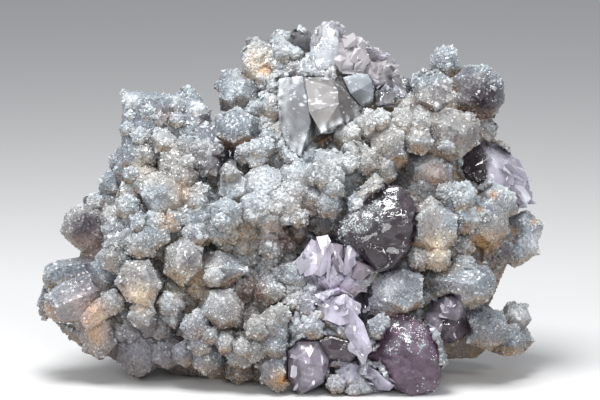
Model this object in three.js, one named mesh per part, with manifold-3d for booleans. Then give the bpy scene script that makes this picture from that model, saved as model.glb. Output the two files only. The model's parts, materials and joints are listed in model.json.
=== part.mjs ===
// A cluster of quartz: stubby crystals grown together into one solid, most of them rounded by a
// coat of fine druse, with broken milky quartz at the top and glassy purple crystals at the front.
//
// The frame is millimetres with +Z up. The cluster stands on z = 0 and is shown to the -Y side.
// Its pieces were placed on the display side, as a viewer sees it who looks down a little:
// "across" runs to the viewer's right, "rise" runs up the view and "near" comes out of it.

import * as THREE from "three";
import { mergeVertices } from "three/addons/utils/BufferGeometryUtils.js";
import Module from "manifold-3d";

const wasm = await Module();
wasm.setup();

// Driving dimensions
const VIEW_DOWN = THREE.MathUtils.degToRad(10);
const FOOT_DROP = 4.4; // how far the display frame's zero lies above the table
const STRAY = 0.09; // how far a corner strays from a regular crystal, as a share of its radius
const STRETCH = 0.15; // how far a crystal's two widths differ from its radius, as a share of it
const SWELL = 0.24; // how much the massive quartz swells and shrinks, as a share of its reach
const FAR_REACH = 400; // the side of a block that cuts a flat break or trims the feet

// Display directions, in the part's frame
const ACROSS = new THREE.Vector3(1, 0, 0);
const RISE = new THREE.Vector3(0, Math.sin(VIEW_DOWN), Math.cos(VIEW_DOWN));
const NEAR = new THREE.Vector3(0, -Math.cos(VIEW_DOWN), Math.sin(VIEW_DOWN));

// A direction given as [across, rise, near], in the part's frame.
function direction([across, rise, near]) {
  return new THREE.Vector3()
    .addScaledVector(ACROSS, across)
    .addScaledVector(RISE, rise)
    .addScaledVector(NEAR, near);
}

// A place given as [across, rise, near], in the part's frame.
function place(at) {
  const point = direction(at);
  point.z -= FOOT_DROP;
  return point;
}

// A repeatable number from 0 to 1 for a corner of a crystal.
function scatter(a, b) {
  const wave = Math.sin(a * 127.1 + b * 311.7 + 74.7) * 43758.5453;
  return wave - Math.floor(wave);
}

// The habits, as rings from the buried root to the tip: [share of radius, place along the axis].
// A place below 0 is a share of the root's length, and one above 0 a share of the head's.
const HABITS = {
  point: { sides: 6, rings: [[0.9, -1], [1, 0.1]], tip: 1 },
  bud: { sides: 5, rings: [[0.9, -1], [1, 0.15]], tip: 1 },
  knob: { sides: 6, rings: [[0.8, -1], [1, -0.1], [0.74, 0.7]], tip: 1 },
  stub: { sides: 6, rings: [[0.85, -1], [1, 0.3], [0.62, 0.9]], tip: 1 },
  slab: { sides: 4, rings: [[0.95, -1], [1, 0.3], [0.8, 0.92]], tip: 1 },
  block: { sides: 5, rings: [[0.9, -1], [1, 0.1], [0.86, 0.9]], tip: 1 },
  shard: { sides: 5, rings: [[0.9, -1], [1, 0.1]], tip: 1 },
};

// A closed crystal of one habit: LatheGeometry's round of flat sides, its corners strayed a little.
// It is turned about its axis by turn degrees, as seen from the front, and the axis is swung to aim.
function crystal(spec) {
  const { habit, at, aim, r, head, root, flat = 1, turn = 0 } = spec;
  const seed = at[0] * 7.1 + at[1] * 3.3 + at[2];
  const { sides, rings, tip } = HABITS[habit];
  const along = (share) => (share < 0 ? share * root : share * head);
  const profile = [
    new THREE.Vector2(0, -root),
    ...rings.map(([share, up]) => new THREE.Vector2(share * r, along(up))),
    new THREE.Vector2(0, along(tip)),
  ];
  const lathe = new THREE.LatheGeometry(profile, sides);
  lathe.deleteAttribute("normal");
  lathe.deleteAttribute("uv");
  const solid = mergeVertices(lathe, 1e-4);
  const corners = solid.getAttribute("position");
  const either = (a, b) => 2 * scatter(a, b) - 1;
  const wide = 1 + STRETCH * either(seed, 501);
  const tall = (1 + STRETCH * either(seed, 502)) * flat;
  const stray = STRAY * r;
  for (let i = 0; i < corners.count; i += 1) {
    corners.setXYZ(
      i,
      corners.getX(i) * wide + stray * either(seed, 3 * i),
      corners.getY(i) + stray * either(seed, 3 * i + 1),
      corners.getZ(i) * tall + stray * either(seed, 3 * i + 2),
    );
  }
  solid.rotateY(THREE.MathUtils.degToRad(turn));
  solid.rotateX(Math.PI);
  const swing = new THREE.Quaternion().setFromUnitVectors(
    new THREE.Vector3(0, -1, 0),
    direction(aim).normalize(),
  );
  solid.applyQuaternion(swing);
  const spot = place(at);
  solid.translate(spot.x, spot.y, spot.z);
  return solid;
}

// A lump of the massive quartz that the crystals grow from: a faceted ball stretched to its reach.
function lump({ at, reach }, index) {
  const ball = new THREE.IcosahedronGeometry(1, 0);
  ball.deleteAttribute("normal");
  ball.deleteAttribute("uv");
  const solid = mergeVertices(ball, 1e-4);
  const corners = solid.getAttribute("position");
  const [across, rise, near] = reach;
  const spot = place(at);
  for (let i = 0; i < corners.count; i += 1) {
    const swell = 1 + SWELL * (scatter(index, i + 900) - 0.5);
    const point = direction([
      corners.getX(i) * across * swell,
      corners.getY(i) * rise * swell,
      corners.getZ(i) * near * swell,
    ]).add(spot);
    corners.setXYZ(i, point.x, point.y, point.z);
  }
  return solid;
}

// The massive quartz behind and under the crystals
const MASS = [
  { at: [-10, 32, -7], reach: [48, 28, 21] },
  { at: [6.6, 59, -8], reach: [28, 28, 17] },
  { at: [32, 38, -7], reach: [29, 28, 18] },
  { at: [-35, 32, -5], reach: [24, 21, 17] },
  { at: [0, 12, -6], reach: [42, 15, 22] },
  { at: [-30, 56, -7], reach: [16, 17, 13] },
  { at: [36, 64, -7], reach: [15, 17, 12] },
  { at: [-34, 15, -3], reach: [20, 9, 15] },
  { at: [34, 17, -4], reach: [24, 10, 14] },
];

// The upper left: a broad coated block with a low peak, and the steps down its left edge
const UPPER_LEFT = [
  { habit: "slab", at: [-34.6, 66.9, 1.4], aim: [-0.08, 0.1, 0.99], r: 11.4, head: 5, root: 15, turn: 45 },
  { habit: "stub", at: [-27.4, 67, 1], aim: [0.1, 0.3, 0.95], r: 7, head: 5, root: 14 },
  { habit: "point", at: [-26.5, 73, -1], aim: [0.1, 0.9, 0.4], r: 4.2, head: 4.8, root: 9 },
  { habit: "knob", at: [-21.5, 61.5, 4], aim: [0.1, 0.3, 0.95], r: 7.4, head: 5, root: 13 },
  { habit: "knob", at: [-28.5, 57, 8], aim: [-0.1, 0.3, 0.93], r: 6.2, head: 4.6, root: 12 },
  { habit: "knob", at: [-38, 60, 5], aim: [-0.2, 0.2, 0.95], r: 5, head: 4, root: 10 },
  { habit: "point", at: [-39.2, 55, 9], aim: [-0.1, 0.5, 0.85], r: 2.6, head: 3, root: 8 },
  { habit: "point", at: [-43, 58, -6], aim: [-0.7, 0.2, 0.6], r: 4.6, head: 3.6, root: 12 },
  { habit: "point", at: [-46, 52.5, -5], aim: [-0.8, 0.3, 0.5], r: 4.4, head: 3.4, root: 12 },
  { habit: "point", at: [-50, 47.5, -4], aim: [-0.7, 0.5, 0.5], r: 4, head: 3.2, root: 11 },
  { habit: "point", at: [-32, 62, 6], aim: [0, 0.2, 0.98], r: 4.6, head: 3.8, root: 10 },
];

// The left side: the round coated crystal with a dark heart, and the long prisms below it
const LEFT = [
  { habit: "knob", at: [-51.6, 41.8, 3], aim: [-0.72, 0.42, 0.55], r: 6.7, head: 6, root: 16 },
  { habit: "stub", at: [-55.2, 30.2, 5], aim: [-0.93, -0.12, 0.34], r: 3.9, head: 7, root: 14, turn: 10 },
  { habit: "stub", at: [-53, 24, 9], aim: [-0.86, -0.3, 0.42], r: 6.2, head: 8, root: 18 },
  { habit: "shard", at: [-60.4, 22.6, 3], aim: [-0.34, -0.9, 0.1], r: 3.4, head: 4, root: 8 },
  { habit: "point", at: [-46.6, 22, 14], aim: [0.68, 0.7, 0.2], r: 2.5, head: 5, root: 6 },
  { habit: "stub", at: [-48, 14.8, 11], aim: [-0.3, -0.2, 0.93], r: 5.3, head: 2.6, root: 12, turn: 20 },
  { habit: "knob", at: [-38, 11.4, 6], aim: [-0.25, -0.4, 0.88], r: 7.6, head: 5, root: 13 },
  { habit: "stub", at: [-31, 11.6, 6], aim: [0.1, -0.35, 0.93], r: 6.2, head: 4.6, root: 12 },
  { habit: "shard", at: [-53.5, 14.6, 3], aim: [-0.82, 0.56, 0.1], r: 3, head: 6.4, root: 8, flat: 0.5 },
  { habit: "point", at: [-51.5, 19, 10], aim: [-0.4, -0.2, 0.9], r: 4, head: 3, root: 9 },
];

// The front left: the bold coated crystals that face the viewer
const FRONT_LEFT = [
  { habit: "stub", at: [-37.3, 28.6, 18], aim: [-0.12, -0.05, 0.98], r: 6.6, head: 3.6, root: 16, turn: 30 },
  { habit: "knob", at: [-26.2, 33.6, 18.5], aim: [0.25, 0.12, 0.95], r: 5.9, head: 4.4, root: 15 },
  { habit: "point", at: [-17, 31.4, 17], aim: [0.82, 0.04, 0.56], r: 5, head: 8, root: 12, turn: 15 },
  { habit: "point", at: [-46, 30, 12], aim: [-0.2, -0.15, 0.95], r: 4.4, head: 4, root: 12 },
  { habit: "bud", at: [-43, 36, 13], aim: [-0.2, 0.4, 0.9], r: 3.1, head: 3, root: 9 },
  { habit: "point", at: [-39, 43.8, 13], aim: [-0.12, 0.34, 0.93], r: 4.8, head: 4, root: 12 },
  { habit: "point", at: [-33.6, 41.6, 13], aim: [0.1, 0.1, 0.98], r: 4, head: 3.6, root: 10 },
  { habit: "stub", at: [-31, 49, 12.5], aim: [-0.5, 0.56, 0.66], r: 5.4, head: 6, root: 13 },
  { habit: "point", at: [-25.4, 48.4, 13], aim: [0.55, -0.1, 0.83], r: 4.6, head: 4, root: 11, turn: 20 },
  { habit: "point", at: [-44, 43, 9], aim: [-0.3, 0.2, 0.93], r: 4.2, head: 3.6, root: 10 },
  { habit: "bud", at: [-21.8, 41.6, 15], aim: [0.1, 0, 0.98], r: 3.8, head: 3.2, root: 10 },
  { habit: "bud", at: [-37, 38, 13.5], aim: [0, 0.35, 0.93], r: 3.8, head: 3.2, root: 10 },
];

// The pale ledge across the middle, and the small crystals in the stained hollow under its right half
const LEDGE = [
  { habit: "knob", at: [-14, 50.6, 13.5], aim: [-0.2, 0.5, 0.85], r: 6, head: 4.6, root: 12 },
  { habit: "knob", at: [-7, 52, 13.5], aim: [0, 0.6, 0.8], r: 6, head: 4.4, root: 12 },
  { habit: "knob", at: [1, 53.6, 14], aim: [0.1, 0.5, 0.85], r: 5.6, head: 4.2, root: 12 },
  { habit: "point", at: [7.4, 55.6, 14], aim: [0.2, 0.4, 0.9], r: 4.6, head: 3.8, root: 11 },
  { habit: "knob", at: [-8.4, 47, 17], aim: [-0.1, 0.2, 0.97], r: 5, head: 3.8, root: 11 },
  { habit: "knob", at: [-1.6, 47.6, 17], aim: [0.1, 0.2, 0.97], r: 5, head: 3.8, root: 11 },
  { habit: "point", at: [4.6, 48.6, 16.5], aim: [0.2, 0.1, 0.97], r: 4.4, head: 3.6, root: 11 },
  { habit: "point", at: [-16, 45, 19.5], aim: [0, 0.2, 0.98], r: 4.7, head: 3.8, root: 11 },
  { habit: "point", at: [9, 51.6, 17], aim: [0.3, -0.6, 0.74], r: 2.9, head: 3.6, root: 7 },
  { habit: "point", at: [-6.8, 38.6, 14], aim: [-0.3, 0.3, 0.9], r: 2.5, head: 2.6, root: 7 },
  { habit: "bud", at: [-5.6, 34, 15], aim: [0.1, 0.2, 0.97], r: 2.8, head: 2.4, root: 8 },
  { habit: "point", at: [-0.2, 30.6, 16], aim: [0.3, 0.3, 0.9], r: 2.8, head: 2.6, root: 8 },
  { habit: "bud", at: [-5.6, 28, 16], aim: [-0.1, 0.1, 0.98], r: 3.2, head: 2.8, root: 9 },
  { habit: "point", at: [-0.6, 26.6, 16], aim: [0.1, -0.1, 0.98], r: 2.9, head: 2.4, root: 8 },
  { habit: "point", at: [3.2, 24.2, 15], aim: [0.3, -0.1, 0.95], r: 4, head: 2.8, root: 9 },
];

// The lower left front: small coated crystals with stained gaps between them
const LOWER_LEFT = [
  { habit: "stub", at: [-16.6, 22, 19.5], aim: [0.3, -0.1, 0.95], r: 5.7, head: 4, root: 14, turn: 40 },
  { habit: "bud", at: [-29, 20.4, 16], aim: [0, 0.1, 0.99], r: 3.1, head: 2.8, root: 9 },
  { habit: "bud", at: [-24.2, 18.2, 17.5], aim: [0.1, 0.2, 0.97], r: 3.3, head: 3, root: 10 },
  { habit: "bud", at: [-35.4, 20.4, 15], aim: [-0.1, 0.1, 0.98], r: 3.2, head: 2.8, root: 9 },
  { habit: "point", at: [-20.6, 15.8, 17], aim: [0.1, 0.1, 0.98], r: 3.1, head: 2.8, root: 9 },
  { habit: "bud", at: [-39.6, 16.4, 13], aim: [-0.2, 0.1, 0.97], r: 3.3, head: 2.6, root: 9 },
  { habit: "point", at: [-11.8, 12, 19], aim: [0.1, 0.2, 0.97], r: 4.6, head: 2.6, root: 12, turn: 10 },
  { habit: "point", at: [-26.2, 10.8, 15.5], aim: [-0.2, -0.1, 0.97], r: 4, head: 3.4, root: 11 },
  { habit: "point", at: [-21, 10, 17], aim: [0.1, -0.1, 0.98], r: 4.1, head: 3.4, root: 11 },
  { habit: "point", at: [-16, 15, 17], aim: [0.1, -0.2, 0.97], r: 2.7, head: 2.4, root: 8 },
  { habit: "point", at: [-4.8, 17.4, 21.5], aim: [-0.2, 0.2, 0.95], r: 4.5, head: 3.6, root: 12 },
  { habit: "bud", at: [-4, 13, 22], aim: [-0.1, -0.2, 0.97], r: 3.8, head: 3.2, root: 11 },
  { habit: "point", at: [-3.8, 6, 21], aim: [-0.15, -0.35, 0.92], r: 4.3, head: 3.6, root: 12 },
  { habit: "bud", at: [-6.4, 8.6, 19], aim: [-0.4, -0.1, 0.9], r: 3, head: 2.6, root: 9 },
  { habit: "point", at: [-13, 7, 12], aim: [-0.1, -0.4, 0.9], r: 4.4, head: 3.6, root: 11 },
  { habit: "point", at: [-20, 8, 10], aim: [-0.1, -0.4, 0.9], r: 4, head: 3.2, root: 10 },
];

// The purple heart: the great glassy crystal, the split shards below it and the crystal at the foot
const PURPLE = [
  { habit: "stub", at: [20.8, 42.4, 17], aim: [0.08, 0.1, 0.99], r: 9.6, head: 6.4, root: 16, flat: 1.14 },
  { habit: "point", at: [27.6, 47, 11.5], aim: [0.4, 0.2, 0.9], r: 4.5, head: 3.8, root: 11 },
  { habit: "shard", at: [5.8, 33, 17.5], aim: [-0.1, 0.9, 0.42], r: 4, head: 6.4, root: 7, flat: 0.7 },
  { habit: "shard", at: [13.2, 33.4, 18.5], aim: [0.22, 0.93, 0.3], r: 2.6, head: 6.6, root: 7, flat: 0.7 },
  { habit: "shard", at: [9.6, 30, 19], aim: [0, 0.6, 0.8], r: 3.6, head: 4, root: 8 },
  { habit: "shard", at: [17, 31, 18.5], aim: [0.6, 0.62, 0.5], r: 4, head: 4.4, root: 8 },
  { habit: "stub", at: [10.8, 22.4, 19.5], aim: [0.2, 0.3, 0.93], r: 6.4, head: 3.8, root: 13 },
  { habit: "shard", at: [14.2, 17.4, 21.5], aim: [0.46, -0.84, 0.3], r: 4.2, head: 8, root: 9, flat: 0.7 },
  { habit: "stub", at: [11, 12.4, 18.5], aim: [0, -0.1, 0.99], r: 5.4, head: 3.4, root: 12, turn: 25 },
  { habit: "point", at: [3, 8.4, 20], aim: [-0.12, -0.8, 0.6], r: 6, head: 9, root: 9, turn: 10 },
  { habit: "stub", at: [5.2, 14, 18.5], aim: [-0.1, 0.2, 0.97], r: 5, head: 3.4, root: 11 },
  { habit: "point", at: [14.6, 5, 19.5], aim: [0, -0.25, 0.97], r: 4.3, head: 3.4, root: 11 },
  { habit: "stub", at: [29, 11, 20], aim: [0.22, -0.25, 0.94], r: 9, head: 7, root: 16, turn: 18 },
  { habit: "stub", at: [22.6, 14.6, 18], aim: [-0.1, 0.1, 0.99], r: 6, head: 4, root: 13 },
  { habit: "shard", at: [21.4, 4.6, 18], aim: [0.6, -0.4, 0.7], r: 4, head: 4.4, root: 9 },
  { habit: "knob", at: [26.4, 26.6, 17.5], aim: [0.3, 0.15, 0.94], r: 6.3, head: 4.2, root: 13 },
  { habit: "point", at: [22.4, 22.6, 18], aim: [-0.2, 0, 0.98], r: 3.9, head: 3.2, root: 10 },
  { habit: "point", at: [27.6, 32, 12], aim: [0.2, 0.2, 0.96], r: 4.6, head: 2.8, root: 10 },
  { habit: "point", at: [39, 17.6, 13], aim: [0.2, -0.1, 0.97], r: 4.4, head: 3.2, root: 11, turn: 12 },
  { habit: "shard", at: [39.8, 21.6, 14], aim: [0.5, 0.2, 0.84], r: 3.6, head: 3.6, root: 9 },
  { habit: "shard", at: [35, 18, 14], aim: [0, 0.3, 0.95], r: 3.2, head: 3.4, root: 9 },
];

// The right side: round coated crystals in rows, with broken amethyst above and behind them
const RIGHT = [
  { habit: "knob", at: [34.8, 41.8, 14.5], aim: [0.25, 0.05, 0.96], r: 7.2, head: 4.6, root: 15 },
  { habit: "knob", at: [48, 43, 8.5], aim: [0.45, 0.05, 0.88], r: 6.8, head: 4.4, root: 14 },
  { habit: "knob", at: [42.4, 46.4, 8.5], aim: [0.1, 0.3, 0.95], r: 5.6, head: 4, root: 12 },
  { habit: "stub", at: [51, 48, 5.5], aim: [0.55, 0.2, 0.8], r: 5.4, head: 4, root: 12 },
  { habit: "stub", at: [42.6, 27.6, 14.5], aim: [0.72, -0.12, 0.68], r: 6.7, head: 7.4, root: 15, turn: 8 },
  { habit: "stub", at: [46.8, 17, 9], aim: [0.66, -0.2, 0.72], r: 6.6, head: 6.4, root: 15 },
  { habit: "stub", at: [53, 13.6, 3], aim: [0.84, -0.3, 0.45], r: 4.8, head: 5, root: 12, turn: 20 },
  { habit: "point", at: [57, 13.8, -2], aim: [0.8, -0.1, 0.5], r: 4.2, head: 3.6, root: 12 },
  { habit: "bud", at: [56.4, 20, -1], aim: [0.5, 0.7, 0.5], r: 3.8, head: 3.2, root: 11 },
  { habit: "point", at: [59.6, 41.4, -2], aim: [0.8, 0.3, 0.45], r: 4.6, head: 3.8, root: 12 },
  { habit: "point", at: [58.4, 36.6, -1], aim: [0.8, -0.3, 0.5], r: 4.6, head: 3.4, root: 12 },
  { habit: "bud", at: [55.6, 34.8, 2], aim: [0.5, -0.3, 0.8], r: 3.6, head: 2.8, root: 9 },
  { habit: "stub", at: [49.4, 56, 0], aim: [0.5, 0.35, 0.78], r: 8, head: 5.4, root: 14, turn: 15 },
  { habit: "stub", at: [54.4, 52, -3], aim: [0.75, 0.1, 0.65], r: 5.6, head: 4, root: 12 },
  { habit: "point", at: [51.2, 35.4, 5], aim: [0.4, -0.3, 0.86], r: 4, head: 3, root: 10 },
];

// The upper right: the two coated columns that lean out to the right
const UPPER_RIGHT = [
  { habit: "knob", at: [46.4, 75.2, 0], aim: [0.72, 0.3, 0.6], r: 8, head: 7, root: 16 },
  { habit: "stub", at: [38, 82, -3], aim: [0.1, 0.86, 0.45], r: 4.6, head: 5, root: 10 },
  { habit: "point", at: [33.6, 78.8, -2], aim: [-0.35, 0.66, 0.6], r: 4, head: 3.6, root: 9 },
  { habit: "knob", at: [39.6, 65, 8], aim: [0.5, 0.02, 0.86], r: 8, head: 6, root: 16 },
  { habit: "knob", at: [32, 66.4, 7], aim: [0, 0.1, 0.99], r: 6, head: 4.2, root: 12 },
  { habit: "knob", at: [34.6, 56, 6], aim: [0.1, -0.35, 0.92], r: 6.2, head: 4.2, root: 12 },
  { habit: "knob", at: [24, 62, 10], aim: [-0.1, 0.2, 0.96], r: 6.6, head: 4.6, root: 13 },
  { habit: "point", at: [19.4, 66, 9.5], aim: [-0.1, 0.4, 0.9], r: 4.6, head: 3.8, root: 10 },
  { habit: "knob", at: [21.8, 56, 11], aim: [0, -0.1, 0.98], r: 5.2, head: 3.8, root: 11 },
  { habit: "bud", at: [15, 60.2, 13.5], aim: [0, 0.3, 0.94], r: 3.7, head: 3.2, root: 9 },
  { habit: "knob", at: [35.8, 74.6, 4], aim: [0, 0.4, 0.9], r: 6.4, head: 4.6, root: 12 },
  { habit: "knob", at: [46.6, 66, -1], aim: [0.6, -0.5, 0.6], r: 5.2, head: 4, root: 12 },
  { habit: "knob", at: [29.4, 71, 2], aim: [-0.1, 0.4, 0.9], r: 5, head: 3.8, root: 10 },
];

// The top: broken milky quartz with great clean faces, and coated knobs down its left flank
const TOP = [
  { habit: "point", at: [4.4, 71.6, 0], aim: [-0.14, -0.6, 0.79], r: 11.2, head: 16, root: 12, turn: 4 },
  { habit: "point", at: [14, 71, 2.6], aim: [0.24, -0.42, 0.87], r: 5.6, head: 7.6, root: 9, turn: 25 },
  { habit: "point", at: [-3, 63.6, 8], aim: [-0.2, 0.1, 0.97], r: 4.4, head: 3.6, root: 10 },
  { habit: "stub", at: [-7.6, 83, -5], aim: [-0.3, 0.45, 0.84], r: 6.8, head: 4.6, root: 12, turn: 12 },
  { habit: "stub", at: [-1.4, 86, -6], aim: [-0.05, 0.6, 0.8], r: 6, head: 4.4, root: 12, turn: 30 },
  { habit: "point", at: [-3.4, 83.6, 0], aim: [0.2, 0.2, 0.95], r: 3.6, head: 2.6, root: 9 },
  { habit: "point", at: [2.4, 87, -1], aim: [0.1, 0.5, 0.86], r: 3.3, head: 4.4, root: 9 },
  { habit: "block", at: [9.2, 86, -4], aim: [0.12, 0.96, 0.24], r: 3.9, head: 7.4, root: 9, turn: 30 },
  { habit: "block", at: [6.6, 82.4, 0], aim: [0.1, -0.2, 0.96], r: 4.8, head: 3, root: 10 },
  { habit: "stub", at: [16.4, 82.4, -6], aim: [0.25, 0.5, 0.82], r: 6.8, head: 4.6, root: 13 },
  { habit: "stub", at: [22.4, 78.6, -7], aim: [0.6, 0.5, 0.62], r: 5, head: 3.8, root: 12 },
  { habit: "block", at: [13, 83, -2], aim: [0.3, 0.6, 0.7], r: 4, head: 3.8, root: 10 },
  { habit: "block", at: [24.2, 74, 2], aim: [0.2, 0.3, 0.93], r: 3.7, head: 3, root: 9, turn: 20 },
  { habit: "knob", at: [-13.4, 75, -1], aim: [-0.5, 0.5, 0.7], r: 5.8, head: 4.4, root: 12 },
  { habit: "knob", at: [-13.4, 66, 5], aim: [-0.3, 0.2, 0.93], r: 6.8, head: 4.4, root: 12 },
  { habit: "point", at: [-8.6, 60, 8], aim: [-0.1, 0.1, 0.98], r: 4.8, head: 3.8, root: 10 },
  { habit: "bud", at: [-15.6, 78.6, -4], aim: [-0.5, 0.7, 0.5], r: 3.8, head: 3.2, root: 9 },
  { habit: "point", at: [13.2, 65, 10], aim: [0.2, -0.2, 0.95], r: 3, head: 2.8, root: 8 },
  { habit: "point", at: [2, 60, 11], aim: [0, 0.2, 0.97], r: 4.6, head: 3.6, root: 10 },
];

// The back, where the cluster was broken from the rock: flat breaks, each facing away from its place
const BREAKS = [
  { at: [-12, 32, -21], away: [-0.1, -0.12, -1] },
  { at: [22, 36, -18], away: [0.42, -0.06, -0.9] },
  { at: [8, 64, -17], away: [-0.12, 0.4, -0.9] },
  { at: [-38, 30, -14], away: [-0.62, 0.14, -0.8] },
  { at: [2, 10, -19], away: [0.06, -0.5, -0.86] },
  { at: [36, 66, -13], away: [0.4, 0.34, -0.84] },
];

// The back: stubs left standing between the breaks, and a few coated crystals near its edges
const BACK = [
  { habit: "block", at: [-44, 38, -12], aim: [-0.7, 0.2, -0.7], r: 7, head: 4, root: 12 },
  { habit: "block", at: [-33, 52, -14], aim: [-0.3, 0.3, -0.9], r: 8, head: 4, root: 12, turn: 20 },
  { habit: "stub", at: [-24, 62, -13], aim: [0.2, 0.4, -0.86], r: 6, head: 5, root: 10 },
  { habit: "block", at: [-14, 46, -20], aim: [0.1, 0.3, -0.94], r: 9, head: 4, root: 12, turn: 40 },
  { habit: "knob", at: [-4, 34, -21], aim: [0.3, 0, -0.95], r: 6, head: 5, root: 10 },
  { habit: "block", at: [20, 50, -18], aim: [0.2, 0.1, -0.95], r: 9, head: 3.6, root: 12, turn: 10 },
  { habit: "stub", at: [31, 57, -15], aim: [0.4, 0.1, -0.9], r: 6, head: 5, root: 10 },
  { habit: "stub", at: [14, 22, -20], aim: [0.2, -0.2, -0.95], r: 7, head: 4.6, root: 12 },
  { habit: "block", at: [-24, 16, -18], aim: [-0.3, -0.3, -0.9], r: 8, head: 3.4, root: 12 },
  { habit: "knob", at: [-2, 78, -14], aim: [-0.2, 0.6, -0.76], r: 5.6, head: 4.4, root: 10 },
];

const CRYSTALS = [
  ...UPPER_LEFT, ...LEFT, ...FRONT_LEFT, ...LEDGE, ...LOWER_LEFT,
  ...PURPLE, ...RIGHT, ...UPPER_RIGHT, ...TOP, ...BACK,
];

// A three.js geometry as a manifold solid.
function toManifold(geometry) {
  const mesh = new wasm.Mesh({
    numProp: 3,
    vertProperties: new Float32Array(geometry.getAttribute("position").array),
    triVerts: new Uint32Array(geometry.index.array),
  });
  return new wasm.Manifold(mesh);
}

// The corners of the largest connected shell of a closed surface, three to a triangle. A pocket
// sealed in between grown crystals is a shell of its own, and leaving it out fills the pocket.
function largestShell(triangles) {
  const leader = new Map();
  const leaderOf = (corner) => {
    let top = corner;
    while (leader.has(top)) top = leader.get(top);
    return top;
  };
  const connect = (a, b) => {
    const [first, second] = [leaderOf(a), leaderOf(b)];
    if (first !== second) leader.set(first, second);
  };
  const shells = new Map();
  for (let i = 0; i < triangles.length; i += 3) {
    connect(triangles[i], triangles[i + 1]);
    connect(triangles[i], triangles[i + 2]);
  }
  for (let i = 0; i < triangles.length; i += 3) {
    const top = leaderOf(triangles[i]);
    if (!shells.has(top)) shells.set(top, []);
    shells.get(top).push(triangles[i], triangles[i + 1], triangles[i + 2]);
  }
  return [...shells.values()].reduce((most, shell) => (shell.length > most.length ? shell : most));
}

// A manifold solid as a three.js geometry with no sealed pockets.
function toGeometry(solid) {
  const mesh = solid.getMesh();
  const geometry = new THREE.BufferGeometry();
  geometry.setAttribute("position", new THREE.BufferAttribute(mesh.vertProperties, 3));
  geometry.setIndex(largestShell(mesh.triVerts));
  return mergeVertices(geometry, 1e-6);
}

// The block of space that lies beyond a flat break or under the table, reaching away from spot.
function beyond(spot, away) {
  const block = new THREE.BoxGeometry(FAR_REACH, FAR_REACH, FAR_REACH);
  block.deleteAttribute("normal");
  block.deleteAttribute("uv");
  block.translate(0, 0, FAR_REACH / 2);
  const swing = new THREE.Quaternion().setFromUnitVectors(new THREE.Vector3(0, 0, 1), away);
  block.applyQuaternion(swing);
  block.translate(spot.x, spot.y, spot.z);
  return toManifold(mergeVertices(block, 1e-4));
}

// The massive quartz with its back broken off, every crystal grown into it, and the feet cut flat.
function cluster() {
  const massive = MASS.map(lump).map(toManifold).reduce((sum, piece) => sum.add(piece));
  const broken = BREAKS.reduce(
    (rest, { at, away }) => rest.subtract(beyond(place(at), direction(away).normalize())),
    massive,
  );
  const grown = CRYSTALS.map(crystal).map(toManifold).reduce((sum, piece) => sum.add(piece), broken);
  const underTable = beyond(new THREE.Vector3(0, 0, 0), new THREE.Vector3(0, 0, -1));
  return toGeometry(grown.subtract(underTable));
}

// The cluster moved so that the origin is the middle of the bottom of its box.
function centred(geometry) {
  geometry.computeBoundingBox();
  const middle = geometry.boundingBox.getCenter(new THREE.Vector3());
  geometry.translate(-middle.x, -middle.y, 0);
  return geometry;
}

const quartz = new THREE.Mesh(
  centred(cluster()),
  new THREE.MeshStandardMaterial({ color: 0xc9c8cc, roughness: 0.35, metalness: 0 }),
);
quartz.name = "quartz_cluster";

const part = new THREE.Group();
part.add(quartz);

export default part;
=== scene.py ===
# %% [markdown]
# A quartz cluster under druse
#
# The real thing is one natural piece. Stubby quartz crystals grew out of a massive base, and a later
# coat of tiny quartz points, called druse, grew over most of them. A few crystals stayed clean or
# broke: the milky faces at the top, the glassy amethyst at the front and splinters beside it.
#
# The construction solid gives where every crystal stands. It could be shown as it is, but its flat
# faces have none of the sparkle. So a copy of it gets small crystals, finer triangles and a tint, the
# druse is grown on that copy as real little pyramids, and the clean crystals are set over it as
# clear pieces of their own.

import json

import bmesh
import bpy
import numpy as np
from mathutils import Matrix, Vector
from mathutils.bvhtree import BVHTree

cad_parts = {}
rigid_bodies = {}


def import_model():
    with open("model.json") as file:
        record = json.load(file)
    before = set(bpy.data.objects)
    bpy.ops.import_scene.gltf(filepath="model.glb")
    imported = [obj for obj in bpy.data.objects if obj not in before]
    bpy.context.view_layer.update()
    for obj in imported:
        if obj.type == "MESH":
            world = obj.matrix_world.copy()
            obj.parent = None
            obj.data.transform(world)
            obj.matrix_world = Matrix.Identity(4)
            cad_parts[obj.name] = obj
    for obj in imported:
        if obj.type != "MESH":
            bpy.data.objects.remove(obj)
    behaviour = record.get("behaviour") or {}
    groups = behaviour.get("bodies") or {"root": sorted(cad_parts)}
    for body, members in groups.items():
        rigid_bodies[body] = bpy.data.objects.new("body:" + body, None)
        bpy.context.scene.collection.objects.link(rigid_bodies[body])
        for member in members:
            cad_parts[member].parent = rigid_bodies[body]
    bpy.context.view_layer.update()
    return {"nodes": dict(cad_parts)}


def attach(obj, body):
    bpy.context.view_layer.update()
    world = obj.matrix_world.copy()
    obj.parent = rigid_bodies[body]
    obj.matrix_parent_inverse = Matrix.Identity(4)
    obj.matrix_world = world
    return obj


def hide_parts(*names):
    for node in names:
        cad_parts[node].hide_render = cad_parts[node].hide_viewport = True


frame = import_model()
MM = 0.001


def added(name, data):
    """A new object in the scene, at the origin, made of this mesh, camera or light."""
    thing = bpy.data.objects.new(name, data)
    bpy.context.scene.collection.objects.link(thing)
    return thing


# %% [markdown]
# The camera comes first, because the rest is placed from its side. The cluster was photographed from
# a little above, so places on the display side are given as a viewer gives them: across to the
# right, rise up the view and near out of it, in millimetres. One function turns them into points of
# the frame. The camera is a long lens, as for a specimen picture, so the near parts aren't swollen.

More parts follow.
